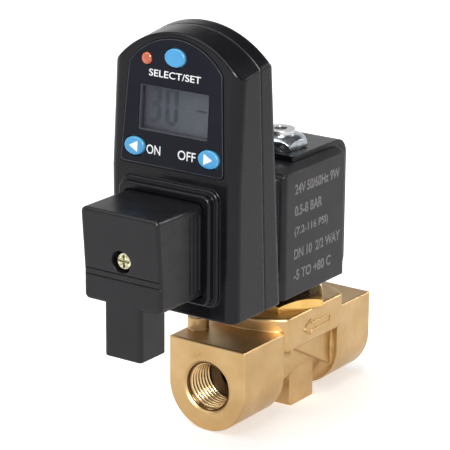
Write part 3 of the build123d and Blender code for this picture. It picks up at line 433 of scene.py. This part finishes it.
stainless = metal("stainless_steel", (0.50, 0.50, 0.50), (0.62, 0.62, 0.61), 0.28, (1, 1, 6))
zinc = metal("zinc_plate", (0.62, 0.64, 0.66), (0.78, 0.80, 0.82), 0.25)
bright_plate = metal("bright_plate", (0.20, 0.225, 0.25), (0.50, 0.53, 0.56), 0.20)
spring_wire = metal("spring_wire", (0.40, 0.40, 0.41), (0.56, 0.56, 0.57), 0.3)
copper = metal("copper", (0.72, 0.34, 0.20), (0.83, 0.44, 0.28), 0.3, (1, 1, 9))
tin = metal("tinned_brass", (0.62, 0.60, 0.54), (0.76, 0.74, 0.66), 0.3)
core_steel = metal("laminated_steel", (0.22, 0.21, 0.21), (0.34, 0.33, 0.32), 0.45, (14, 1, 1))
aluminium = metal("drawn_aluminium", (0.70, 0.70, 0.71), (0.82, 0.82, 0.83), 0.3, (1, 6, 1))
# The screw's film: patchy yellow, with near-black to pale patches that are partly painted glints and painted
# shade.
gold_film_and_glints = metal("yellow_passivated", (0.12, 0.11, 0.05), (0.84, 0.81, 0.58), 0.2, streak_size=0.8 * MM,
             depth=0.03 * MM, patch=0.9 * MM)
put_on(stainless, "armature_tube", "fixed_core", "plunger")
put_on(zinc, "nut_washer", "case_screws", "clamp_screws", "gland_washer")
put_on(bright_plate, "coil_nut")
put_on(spring_wire, "diaphragm_spring", "plunger_spring")
put_on(copper, "shading_ring", "coil_winding")
put_on(tin, "coil_blades", "front_blades", "rear_sockets", "plug_contacts")
put_on(core_steel, "transformer")
put_on(aluminium, "capacitor")
put_on(gold_film_and_glints, "plug_screw")

# %% [markdown]
# ## The coated bracket
# The bracket over the coil is steel strip with a smooth black coat that still shows the rolling
# direction. It is not bare metal: a coat keeps its own tone in the shade, so the shader is that of
# a plastic.

# %% Coated bracket
coated_strip = finish("coated_strip", (0.008, 0.008, 0.010), roughness=0.26, specular=0.18)
tones(coated_strip, noise(coated_strip, 7 * MM, 3.0), [(0.004, 0.0036, 0.0056), (0.007, 0.0064, 0.0088)])
rolled = noise(coated_strip, 0.8 * MM, 3.0, object_space(coated_strip, stretch=(1, 0.1, 0.1)))
relief(coated_strip, (rolled, 0.006 * MM), edge=0.3 * MM)
put_on(coated_strip, "coil_yoke")

# %% [markdown]
# ## The panel's own coordinates
# The display face leans back by four degrees. All of its print is drawn flat, in millimetres across
# and up the panel from the line where the lean begins, and then carried there.

# %% Panel
LEAN = atan(0.07)
TIMER_FRONT = -61.8 * MM
BEND_Z = 92.2 * MM
PANEL_UP = (0.0, sin(LEAN), cos(LEAN))
PANEL_OUT = (0.0, -cos(LEAN), sin(LEAN))
PANEL_ORIGIN = (0.0, TIMER_FRONT, BEND_Z)
LABEL_FACE = 0.15 * MM


def carry(points, origin, across, up, out):
    """Takes local (across, up, out) points to the frame."""
    return (np.asarray(origin) + points[..., :1] * np.asarray(across) + points[..., 1:2] * np.asarray(up)
            + points[..., 2:] * np.asarray(out))


def on_panel(points):
    """Local (across, up, out) points on the leaning panel."""
    return carry(points, PANEL_ORIGIN, (1, 0, 0), PANEL_UP, PANEL_OUT)


# %% [markdown]
# ## Label, display, lamp and keys
# The front overlay is printed film: navy black under a satin varnish. The display is a grey
# liquid-crystal cell behind a clear window, painted lighter towards its right side as painted light.
# The keys are sky blue with a paler rim that is a painted highlight, and the lamp is amber plastic
# that lets some light into it.

# %% Label, display, lamp and keys
label_film = finish("label_film", (0.004, 0.005, 0.010), roughness=0.26, specular=0.14)
tones(label_film, noise(label_film, 10 * MM), [(0.0028, 0.0036, 0.0092), (0.0044, 0.0054, 0.0128)])
relief(label_film, (noise(label_film, 0.6 * MM), 0.003 * MM))

cell = finish("display_cell", (0.06, 0.07, 0.08), roughness=0.45, specular=0.12)
slant = add_node(cell, "ShaderNodeSeparateXYZ")
wire(cell, object_space(cell), slant.inputs["Vector"])
# Painted light: the cell is painted lighter towards its right side.
across = spread(cell, slant.outputs["X"], 0.2, 0.8, -13 * MM, 13 * MM)
tones(cell, across, [(0.085, 0.085, 0.112), (0.135, 0.158, 0.184)], 0.2, 0.8)
relief(cell, (noise(cell, 0.5 * MM), 0.002 * MM))

window = finish("clear_window", (0.02, 0.02, 0.025), roughness=0.05, alpha=0.1)
relief(window, (noise(window, 12 * MM), 0.01 * MM))

lamp_plastic = finish("amber_lamp", (0.72, 0.12, 0.025), roughness=0.12, transmission=0.15, coat=0.6)
tones(lamp_plastic, noise(lamp_plastic, 1.2 * MM), [(0.50, 0.07, 0.02), (0.74, 0.16, 0.045)])

key_blue = finish("key_blue", (0.065, 0.34, 0.66), roughness=0.3)
over_panel = add_node(key_blue, "ShaderNodeVectorMath", operation="DOT_PRODUCT")
over_panel.inputs[1].default_value = PANEL_OUT
wire(key_blue, object_space(key_blue, PANEL_ORIGIN), over_panel.inputs[0])
# Painted highlight: the rounded rim below the cap's face is painted paler than the face.
rim = spread(key_blue, over_panel.outputs["Value"], 0.3, 0.7, 0.98 * MM, 0.7 * MM)
tones(key_blue, rim, [(0.055, 0.33, 0.65), (0.14, 0.50, 0.80)])
relief(key_blue, (noise(key_blue, 0.4 * MM), 0.003 * MM), edge=0.5 * MM)

mask_green = finish("solder_mask", (0.02, 0.14, 0.05), roughness=0.3)
tones(mask_green, noise(mask_green, 1.4 * MM), [(0.012, 0.10, 0.035), (0.03, 0.18, 0.07)])

put_on(label_film, "front_label")
put_on(cell, "lcd_module")
put_on(window, "lcd_window")
put_on(lamp_plastic, "status_led")
put_on(key_blue, "test_key", "on_key", "off_key")
put_on(mask_green, "main_board", "power_board")

# %% [markdown]
# ## Surfaces from two parameters
# The new pieces below are grids of points worked out with numpy. A grid that is closed both ways is
# a ring or a tube bent into itself, so it has no open edge and no pole. A grid that is closed one way
# gets a small flat face over each end. Two helpers turn such grids into meshes in one go.


# %% Surface helpers
def add_piece(mesh, material, body):
    """Object at the origin for a finished mesh, riding on a body."""
    mesh.materials.append(material)
    piece = bpy.data.objects.new(mesh.name, mesh)
    scene.collection.objects.link(piece)
    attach(piece, body)
    print("made", mesh.name, len(mesh.polygons), "faces")
    return piece


def closed_grid(name, points):
    """Mesh of a grid (rows, columns, xyz) that is closed along both directions."""
    rows, columns = points.shape[:2]
    index = np.arange(rows * columns).reshape(rows, columns)
    below, beside = np.roll(index, -1, 0), np.roll(index, -1, 1)
    quads = np.stack([index, beside, np.roll(beside, -1, 0), below], -1).reshape(-1, 4)
    mesh = bpy.data.meshes.new(name)
    mesh.from_pydata(points.reshape(-1, 3).tolist(), [], quads.tolist())
    mesh.polygons.foreach_set("use_smooth", np.full(len(quads), True))
    return mesh


def capped_grid(name, points, flipped=False):
    """Mesh of a grid closed along its columns only, with one flat face over its first and last row.
    Flipped turns every face round, for grids whose rows run the other way."""
    index = np.arange(points.shape[0] * points.shape[1]).reshape(points.shape[:2])
    beside = np.roll(index, -1, 1)
    corners = [index[:-1], index[1:], beside[1:], beside[:-1]]
    ends = [index[0], index[-1][::-1]]
    if flipped:
        corners = [corners[0], *corners[:0:-1]]
        ends = [end[::-1] for end in ends]
    quads = np.stack(corners, -1).reshape(-1, 4)
    mesh = bpy.data.meshes.new(name)
    mesh.from_pydata(points.reshape(-1, 3).tolist(), [], quads.tolist() + [end.tolist() for end in ends])
    mesh.polygons.foreach_set("use_smooth", [True] * len(quads) + [False, False])
    return mesh


# %% [markdown]
# ## The port threads
# The CAD bores are plain at the outer radius of the thread, and the thread itself is a lining. A
# screw could be swept along a helix, but a surface of two parameters is simpler: the radius depends
# only on how far the point lies along the axis, less the share of a pitch for its turn. The lining
# closes on itself through a plain outer wall just inside the bore. Its pitch is read from the
# photograph and is a little coarser than the standard one for this size. The crests are brighter
# than the casting, as fresh cuts are, and painted lighter still as a painted highlight; the valleys
# are painted near black as painted shade. So the tone follows the distance to the axis.

# %% Thread brass with painted highlight and shade
THREAD_DEPTH = 0.95 * MM
cut_brass = finish("cut_brass", (0.7, 0.5, 0.25), roughness=0.26, metallic=1.0)
# Crest tone: a fresh cut brightened by a painted highlight; valley tone: painted shade.
CREST_CUT_HIGHLIGHT_TONE, FLANK_TONE, VALLEY_SHADE_TONE = (0.80, 0.60, 0.33), (0.46, 0.29, 0.12), (0.09, 0.05, 0.02)
tones(cut_brass, from_port_axis(cut_brass, PORT_R - THREAD_DEPTH, PORT_R),
      [CREST_CUT_HIGHLIGHT_TONE, FLANK_TONE, VALLEY_SHADE_TONE], 0.1, 0.75)
relief(cut_brass, (noise(cut_brass, 0.6 * MM), 0.003 * MM))

# %% Port threads
THREAD_PITCH = 1.6 * MM
THREAD_LENGTH = 12.9 * MM
LEAD_IN = 1.6 * MM
THREAD_START = 0.95 * MM
FLANK_STEEPNESS, FLANK_RISE = 1.32, 1.16
FIRST_DEPTH = 0.25
VALLEY_CLEARANCE, WALL_CLEARANCE = 0.05 * MM, 0.01 * MM
TURN_STEPS = 144
STEPS_PER_PITCH = 14


def internal_thread(name, mouth_y, inward, axis_z):
    """Thread lining: radius = port radius - depth * (triangle wave of y / pitch - turn), faded at
    its ends, and the triangle cut flat at crest and valley."""
    steps = int(THREAD_LENGTH / THREAD_PITCH * STEPS_PER_PITCH)
    along = np.linspace(0, THREAD_LENGTH, steps)
    turn = np.arange(TURN_STEPS) / TURN_STEPS
    phase = (along[None, :] / THREAD_PITCH - turn[:, None]) % 1.0
    tooth = np.clip(FLANK_RISE - np.abs(phase * 2 - 1) * FLANK_STEEPNESS, 0.0, 1.0)
    fade = np.clip(np.minimum(along / LEAD_IN + FIRST_DEPTH, (THREAD_LENGTH - along) / LEAD_IN), 0, 1)
    radius = PORT_R - VALLEY_CLEARANCE - THREAD_DEPTH * tooth * fade[None, :]
    wall = PORT_R - WALL_CLEARANCE
    radius = np.concatenate([radius, np.full((TURN_STEPS, 2), wall)], 1)
    depth = np.concatenate([along, along[[-1, 0]]]) + THREAD_START
    angle = 2 * pi * turn[:, None]
    x = radius * np.cos(angle)
    z = axis_z + radius * np.sin(angle)
    y = np.broadcast_to(mouth_y + inward * depth[None, :], x.shape)
    points = np.stack([x, y, z], -1)
    if inward > 0:  # the rows then run the other way round, so the faces still look outward
        points = points[::-1]
    return closed_grid(name, points)


for port, mouth_y, inward in (("outlet", body_low.y, 1), ("inlet", body_high.y, -1)):
    add_piece(internal_thread(port + "_thread", mouth_y, inward, PORT_Z), cut_brass, "valve")

# %% [markdown]
# ## The two springs
# One spring pushes the plunger down, the other the diaphragm. A rigid spring would be run through
# when they lift. Each is made again here in a finer shape: a round wire carried along a helix whose
# ends lie flat, as on a real compression spring.

# %% Springs
WIRE = 0.58 * MM
STEPS_PER_TURN, WIRE_SIDES = 36, 10
FLAT_SHARE = 0.14


def compression_spring(name, radius, low, high, turns):
    """Tube of two parameters: centre = helix whose height eases in and out, section = circle across it."""
    s = np.linspace(0, 1, int(turns * STEPS_PER_TURN))
    rise = np.clip((s - FLAT_SHARE) / (1 - 2 * FLAT_SHARE), 0, 1)
    angle = 2 * pi * turns * s[:, None]
    height = (low + WIRE / 2 + rise * (high - low - WIRE))[:, None]
    section = 2 * pi * np.arange(WIRE_SIDES)[None, :] / WIRE_SIDES
    reach = radius + WIRE / 2 * np.cos(section)
    x, y = reach * np.cos(angle), reach * np.sin(angle)
    z = height + WIRE / 2 * np.sin(section)
    return capped_grid(name, np.stack([x, y, z], -1))


for node, joint, stroke, turns in (("plunger_spring", "plunger_lift", 3.0 * MM, 6),
                                   ("diaphragm_spring", "diaphragm_lift", 2.2 * MM, 3)):
    low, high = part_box(node)
    mesh = compression_spring(node + "_wire", (high.x - low.x - WIRE) / 2, low.z, high.z, turns)
    piece = add_piece(mesh, spring_wire, "valve")
    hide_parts(node)
    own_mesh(piece)

# %% [markdown]
# ## Marks that stand on a plane
# The arrow on the pot, the border of the label and the display digits are all thin bars on a plane.
# A bar that follows a closed path is again a closed grid: one parameter runs round the path, the
# other round the bar's small section. The path's own normal says which way is across.


# %% Path helpers
CORNER_STEPS = 6


def rounded_path(points, radius, steps=CORNER_STEPS):
    """Closed path along corner points, each corner eased by a curve of second degree that leaves the
    sides where an arc of the radius would."""
    points = np.asarray(points, float)
    path = []
    for before, corner, after in zip(np.roll(points, 1, 0), points, np.roll(points, -1, 0)):
        a = (before - corner) / np.linalg.norm(before - corner)
        b = (after - corner) / np.linalg.norm(after - corner)
        reach = radius / np.tan(np.arccos(np.clip(a @ b, -1, 1)) / 2)
        reach = min(reach, 0.45 * np.linalg.norm(before - corner), 0.45 * np.linalg.norm(after - corner))
        t = np.linspace(0, 1, steps)[:, None]
        start, end = corner + a * reach, corner + b * reach
        path.append((1 - t) ** 2 * start + 2 * t * (1 - t) * corner + t**2 * end)
    return np.concatenate(path)


def bar_on_path(path, width, low, high, soft=0.25):
    """Grid of a bar along a closed flat path: path point + path normal * section's offset, at the
    section's height, with its top edges eased."""
    tangent = np.roll(path, -1, 0) - np.roll(path, 1, 0)
    tangent /= np.linalg.norm(tangent, axis=1)[:, None]
    normal = np.stack([tangent[:, 1], -tangent[:, 0]], 1)
    half = width / 2
    ease = soft * half
    section = np.array([(-half, low), (-half, high - ease), (-half + ease, high), (half - ease, high),
                        (half, high - ease), (half, low)])
    flat = path[:, None, :] + normal[:, None, :] * section[None, :, :1]
    height = np.broadcast_to(section[None, :, 1:], (*flat.shape[:2], 1))
    return np.concatenate([flat, height], -1)


# %% [markdown]
# ## The flow arrow
# The right side of the pot carries a raised outline arrow that points to the outlet. It was part of
# the mould, so it has the body's finish and soft edges.

# %% Flow arrow
ARROW_Z = 28.5 * MM
ARROW_TIP, ARROW_NECK, ARROW_TAIL = -7.6 * MM, -3.0 * MM, 8.6 * MM
ARROW_HEAD, ARROW_SHAFT = 2.7 * MM, 1.35 * MM
ARROW_BAR, ARROW_RISE = 0.62 * MM, 0.34 * MM
ARROW_ROUND, ARROW_SUNK, ARROW_SOFT = 0.3 * MM, -0.05 * MM, 0.6
PAD_X = 15.6 * MM
outline = [(ARROW_TIP, 0), (ARROW_NECK, -ARROW_HEAD), (ARROW_NECK, -ARROW_SHAFT), (ARROW_TAIL, -ARROW_SHAFT),
           (ARROW_TAIL, ARROW_SHAFT), (ARROW_NECK, ARROW_SHAFT), (ARROW_NECK, ARROW_HEAD)]
arrow_path = rounded_path(outline, ARROW_ROUND)
arrow_bar = bar_on_path(arrow_path, ARROW_BAR, ARROW_SUNK, ARROW_RISE, ARROW_SOFT)
arrow_points = carry(arrow_bar, (PAD_X, 0, ARROW_Z), (0, 1, 0), (0, 0, 1), (1, 0, 0))
add_piece(closed_grid("flow_arrow", arrow_points), cast_brass, "valve")

# %% [markdown]
# ## The label's border
# A hair line of faint grey follows the edge of the overlay: straight at the foot and sides and an
# arc at the top. It is drawn as a very thin bar, so it catches light as the varnished edge does.

# %% Label border
LABEL_LOW, LABEL_TOP, LABEL_APEX = 2.0 * MM, 34.2 * MM, 43.4 * MM
LABEL_LOW_HALF, LABEL_TOP_HALF = 20.0 * MM, 17.9 * MM
LABEL_ROUND, ARC_STEPS = 1.4 * MM, 40
BORDER_INSET, BORDER_WIDTH, BORDER_SUNK, BORDER_RISE = 0.35 * MM, 0.26 * MM, 0.02 * MM, 0.05 * MM
print_white = finish("print_white", (0.86, 0.87, 0.88), roughness=0.4)
tones(print_white, noise(print_white, 0.8 * MM), [(0.80, 0.81, 0.83), (0.90, 0.91, 0.92)])
print_grey = finish("print_grey", (0.05, 0.052, 0.06), roughness=0.3)
tones(print_grey, noise(print_grey, 5 * MM), [(0.012, 0.013, 0.018), (0.030, 0.032, 0.040)])


def label_path(inset):
    """Edge of the overlay, shrunk by an inset: foot and sides, and a circular arc between the upper
    corners."""
    low, top, apex = LABEL_LOW + inset, LABEL_TOP, LABEL_APEX - inset
    half_low, half_top = LABEL_LOW_HALF - inset, LABEL_TOP_HALF - inset
    rise = apex - top
    radius = (half_top**2 + rise**2) / (2 * rise)
    sweep = np.arcsin(half_top / radius)
    angle = np.linspace(sweep, -sweep, ARC_STEPS)
    arc = np.stack([radius * np.sin(angle), apex - radius + radius * np.cos(angle)], 1)
    corners = [(-half_low, low), (half_low, low), (half_top, top), (-half_top, top)]
    foot = rounded_path(corners, LABEL_ROUND)[:2 * CORNER_STEPS]
    return np.concatenate([foot, arc])


border_low, border_high = LABEL_FACE - BORDER_SUNK, LABEL_FACE + BORDER_RISE
border = bar_on_path(label_path(BORDER_INSET), BORDER_WIDTH, border_low, border_high)
add_piece(closed_grid("label_border", on_panel(border)), print_grey, "head")

# %% [markdown]
# ## Print on the overlay and the keys
# White legends stand beside the keys, and each lower key carries a white triangle. Letters come
# from Blender's own font: a text curve is made a mesh first, stretched to the height and width of
# the print, and then carried to its place, so the object itself stays at the origin.


# %% Lettering helper
def lettering(text, width, height, thickness, weight=0.0):
    """Mesh of a line of text, width by height, centred across and standing on its base line."""
    curve = bpy.data.curves.new("lettering", "FONT")
    curve.body = text
    curve.size = 1.0
    curve.offset = weight
    curve.extrude = 0.5
    curve.resolution_u = 4
    holder = bpy.data.objects.new("lettering", curve)
    scene.collection.objects.link(holder)
    bpy.context.view_layer.update()
    mesh = bpy.data.meshes.new_from_object(holder.evaluated_get(bpy.context.evaluated_depsgraph_get()))
    bpy.data.objects.remove(holder)
    points = np.zeros(len(mesh.vertices) * 3)
    mesh.vertices.foreach_get("co", points)
    points = points.reshape(-1, 3)
    low, high = points.min(0), points.max(0)
    size = np.array([width, height, thickness])
    points = (points - low) / (high - low) * size - np.array([width / 2, 0, 0])
    return mesh, points


def written(name, text, width, height, thickness, place, material, body, weight=0.0):
    """Line of text as a piece; place takes its local points to the frame."""
    mesh, points = lettering(text, width, height, thickness, weight)
    mesh.name = name
    mesh.vertices.foreach_set("co", place(points).ravel())
    mesh.update()
    add_piece(mesh, material, body)


# %% Legends
INK = 0.04 * MM
LEGEND_WEIGHT = 0.008
LEGENDS = {
    "legend_on": ("ON", -7.05 * MM, 5.8 * MM, 5.4 * MM, 3.0 * MM),
    "legend_off": ("OFF", 5.75 * MM, 5.8 * MM, 6.8 * MM, 3.0 * MM),
    "legend_select": ("SELECT/SET", 0.0, 30.6 * MM, 19.8 * MM, 2.2 * MM),
}


def on_overlay(x, v):
    """Takes flat text to the overlay, half an ink layer deep in it, with its foot at (x, v)."""
    def place_text(points):
        return on_panel(points + np.array([x, v, LABEL_FACE - 0.5 * INK]))
    return place_text


for name, (text, x, v, width, height) in LEGENDS.items():
    written(name, text, width, height, INK * 1.5, on_overlay(x, v), print_white, "head",
            LEGEND_WEIGHT)

# %% [markdown]
# ## Flat plates
# Triangles and display segments are flat plates with a few corners. A plate is the simplest closed
# grid of all: its outline at two heights, closed by one face at each end.


# %% Flat plates
def plates(name, outlines, low, high):
    """Mesh of flat prisms on the panel from outlines of (across, up) points in anticlockwise order."""
    points, faces = [], []
    for outline_points in outlines:
        count, first = len(outline_points), len(points)
        points += [(x, v, low) for x, v in outline_points] + [(x, v, high) for x, v in outline_points]
        faces.append([first + i for i in reversed(range(count))])
        faces.append([first + count + i for i in range(count)])
        faces += [[first + i, first + (i + 1) % count, first + count + (i + 1) % count, first + count + i]
                  for i in range(count)]
    mesh = bpy.data.meshes.new(name)
    mesh.from_pydata(on_panel(np.array(points)).tolist(), [], faces)
    return mesh


# %% [markdown]
# ## The key caps
# The CAD keys have the right travel and flange, but in the photograph a thin dark gap shows round
# each cap and its rim is softly rounded. Each cap is turned like a pot on a wheel, only the wheel
# is an ellipse: a profile of half widths, half heights and heights over the panel is carried round.

# %% Key caps
KEY_FACE = 1.0 * MM
KEY_SIDE, KEY_LOW_V, KEY_TOP_V = 14.2 * MM, 7.6 * MM, 37.4 * MM
KEY_HALF, KEY_HALF_UP = 3.85 * MM, 2.88 * MM
KEY_RIM = 0.55 * MM
STEM_R, STEM_END, FLANGE_BACK, FLANGE_FRONT = 1.6 * MM, -4.3 * MM, -3.0 * MM, -2.2 * MM
FLANGE_SIDE, FLANGE_UP = 5.0 * MM, 3.3 * MM
ROUND_STEPS, RIM_STEPS = 72, 7
POLE_R = 0.02 * MM
SHARP_ANGLE = radians(50)


def turned_on_panel(name, x, v, profile):
    """Elliptic turning: point = centre + (half width * cos t, half height * sin t), out = profile height."""
    profile = np.array(profile)
    turn = np.arange(ROUND_STEPS) / ROUND_STEPS * 2 * pi
    aside = x + profile[:, :1] * np.cos(turn)
    up = v + profile[:, 1:2] * np.sin(turn)
    out = np.broadcast_to(profile[:, 2:], up.shape)
    mesh = capped_grid(name, on_panel(np.stack([aside, up, out], -1)), flipped=True)
    mesh.update()
    mesh.set_sharp_from_angle(angle=SHARP_ANGLE)
    return mesh


bend = np.linspace(0, pi / 2, RIM_STEPS)
key_profile = [(POLE_R, POLE_R, STEM_END), (STEM_R, STEM_R, STEM_END), (STEM_R, STEM_R, FLANGE_BACK),
               (FLANGE_SIDE, FLANGE_UP, FLANGE_BACK), (FLANGE_SIDE, FLANGE_UP, FLANGE_FRONT),
               (KEY_HALF, KEY_HALF_UP, FLANGE_FRONT)]
key_profile += [(KEY_HALF - KEY_RIM * (1 - cos(a)), KEY_HALF_UP - KEY_RIM * (1 - cos(a)),
                 KEY_FACE - KEY_RIM * (1 - sin(a))) for a in bend]
KEY_PLACES = {"test_key": (0, KEY_TOP_V), "on_key": (-KEY_SIDE, KEY_LOW_V), "off_key": (KEY_SIDE, KEY_LOW_V)}
for body, (x, v) in KEY_PLACES.items():
    cap = add_piece(turned_on_panel(body + "_cap", x, v, key_profile), key_blue, body)
    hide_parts(body)

# %% [markdown]
# ## The lamp's dome
# The lamp is a common round diode: a stem through the shell and a smooth dome over the label. The
# same turning makes it, with a circle for the ellipse and a quarter of a flat arc for the profile.

# %% Lamp dome
LAMP_X, LAMP_V, LAMP_R = -10.9 * MM, 35.9 * MM, 1.95 * MM
LAMP_BACK, DOME_LOW, DOME_RISE = -7.4 * MM, 0.15 * MM, 0.95 * MM
DOME_SHARE, DOME_STEPS = 0.98, 12
dome_bend = np.linspace(0, DOME_SHARE * pi / 2, DOME_STEPS)
lamp_profile = [(POLE_R, POLE_R, LAMP_BACK), (LAMP_R, LAMP_R, LAMP_BACK)]
lamp_profile += [(LAMP_R * cos(a), LAMP_R * cos(a), DOME_LOW + DOME_RISE * sin(a)) for a in dome_bend]
dome_mesh = turned_on_panel("lamp_dome", LAMP_X, LAMP_V, lamp_profile)
dome = add_piece(dome_mesh, lamp_plastic, "head")
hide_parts("status_led")

# %% [markdown]
# ## Triangles on the keys
# Each lower key carries a white triangle, and the two point away from each other. They are flat
# plates with rounded corners that stand a hair proud of the caps' faces.

# %% Key triangles
TRIANGLE = np.array([(-1.9, 0.0), (1.5, -1.85), (1.5, 1.85)]) * MM
TRIANGLE_ROUND, TRIANGLE_SUNK, TRIANGLE_RISE = 0.25 * MM, 0.02 * MM, 0.04 * MM
for body, x, way in (("on_key", -KEY_SIDE, 1), ("off_key", KEY_SIDE, -1)):
    shape = rounded_path(TRIANGLE * (way, way) + (x, KEY_LOW_V), TRIANGLE_ROUND)
    mark = plates(body + "_triangle", [shape.tolist()], KEY_FACE - TRIANGLE_SUNK, KEY_FACE + TRIANGLE_RISE)
    add_piece(mark, print_white, body)

# %% [markdown]
# ## The edge of the display
# The cell lies two millimetres deep in the housing, so a strip of the opening's wall shows at its
# left and its foot. In the photograph that strip is paler than the label. It is one more thin bar,
# bent round the opening from the cell up to just under the window's face.

# %% Display edge
DISPLAY_HALF, DISPLAY_LOW, DISPLAY_TOP = 13.2 * MM, 13.05 * MM, 27.55 * MM
CELL_FACE, EDGE_TOP = -2.1 * MM, -0.05 * MM
EDGE_WIDTH, EDGE_ROUND = 0.24 * MM, 0.5 * MM
edge_grey = finish("display_edge", (0.10, 0.10, 0.12), roughness=0.5, specular=0.3)
tones(edge_grey, noise(edge_grey, 1.5 * MM), [(0.085, 0.083, 0.105), (0.12, 0.118, 0.14)])
inset = EDGE_WIDTH / 2
edge_half, edge_low, edge_top = DISPLAY_HALF - inset, DISPLAY_LOW + inset, DISPLAY_TOP - inset
opening_path = rounded_path([(-edge_half, edge_low), (edge_half, edge_low), (edge_half, edge_top),
                             (-edge_half, edge_top)], EDGE_ROUND)
edge_bar = bar_on_path(opening_path, EDGE_WIDTH, CELL_FACE, EDGE_TOP)
add_piece(closed_grid("display_edge_trim", on_panel(edge_bar)), edge_grey, "head")

# %% [markdown]
# ## The display
# Seven segments make a digit. Each segment is a bar with pointed ends, and a digit is the list of
# the segments that are on. The liquid crystal is not ink but shade, so the segments are a darker
# grey than the cell and not black.

# %% Display digits
DIGIT_W, DIGIT_H, SEGMENT, SEGMENT_GAP = 3.4 * MM, 10.8 * MM, 1.45 * MM, 0.16 * MM
DIGIT_LOW = 16.1 * MM
DIGIT_BACK, DIGIT_FRONT = 0.02 * MM, 0.08 * MM
DASH = 0.7 * MM
DASH_START, DASH_END = (6.9 * MM, 21.6 * MM), (11.2 * MM, 21.6 * MM)
TENS_X, UNITS_X = -10.5 * MM, -3.9 * MM
segment_shade = finish("segment_shade", (0.014, 0.018, 0.024), roughness=0.4, specular=0.2)
tones(segment_shade, noise(segment_shade, 1.5 * MM), [(0.040, 0.052, 0.070), (0.056, 0.072, 0.094)])
H, W = DIGIT_H / 2, DIGIT_W
SEGMENTS = {"a": ((0, 2 * H), (W, 2 * H)), "b": ((W, 2 * H), (W, H)), "c": ((W, H), (W, 0)),
            "d": ((W, 0), (0, 0)), "e": ((0, 0), (0, H)), "f": ((0, H), (0, 2 * H)), "g": ((0, H), (W, H))}


def segment(start, end, shift, width=SEGMENT):
    """Bar with pointed ends between two corners of a digit."""
    start, end = np.array(start) + shift, np.array(end) + shift
    along = (end - start) / np.linalg.norm(end - start)
    side = np.array([-along[1], along[0]]) * width / 2
    a, b = start + along * SEGMENT_GAP, end - along * SEGMENT_GAP
    inner = along * width / 2
    return [tuple(p) for p in (a, a + inner - side, b - inner - side, b, b - inner + side, a + inner + side)]


def digit(segments, x):
    """Outlines of the lit segments of a digit whose left side is at x."""
    return [segment(*SEGMENTS[s], (x, DIGIT_LOW)) for s in segments]


shapes = digit("abgcd", TENS_X) + digit("abcdef", UNITS_X) + [segment(DASH_START, DASH_END, (0, 0), DASH)]
digit_mesh = plates("display_digits", shapes, CELL_FACE + DIGIT_BACK, CELL_FACE + DIGIT_FRONT)
add_piece(digit_mesh, segment_shade, "head")

# %% [markdown]
# ## The rating on the coil
# The side of the coil carries five lines of pale grey ratings, like those that a laser leaves on
# resin. Such marks have almost no depth, so they are drawn as very thin grey letters on the face.
# What they say is plain and general: a supply, a pressure range, a bore and a temperature range.

# %% Coil rating
COIL_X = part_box("coil_moulding")[1].x
RATING_LEFT = -15.0 * MM
RATING_HEIGHT, RATING_WEIGHT, RATING_INK, RATING_SUNK = 3.6 * MM, 0.028, 0.05 * MM, 0.02 * MM
RATING = [("24V 50/60Hz 9W", 77.5, 27.2), ("0.5-8 BAR", 70.1, 16.6), ("(7.2-116 PSI)", 62.8, 20.4),
          ("DN 10  2/2 WAY", 55.3, 28.2), ("-5 TO +80 C", 47.9, 22.6)]
laser_grey = finish("laser_grey", (0.15, 0.145, 0.15), roughness=0.6, specular=0.2)
tones(laser_grey, noise(laser_grey, 0.7 * MM, 4.0), [(0.12, 0.115, 0.12), (0.27, 0.26, 0.265)])


def on_coil_side(middle_y, base):
    """Takes flat text to the coil's right face, reading towards +Y."""
    def place_text(points):
        moved = points + np.array([middle_y, base, -RATING_SUNK])
        return np.stack([COIL_X + moved[:, 2], moved[:, 0], moved[:, 1]], -1)
    return place_text


for i, (text, base, width) in enumerate(RATING):
    width *= MM
    place_line = on_coil_side(RATING_LEFT + width / 2, base * MM)
    written(f"rating_line_{i + 1}", text, width, RATING_HEIGHT, RATING_INK, place_line, laser_grey, "head",
            RATING_WEIGHT)
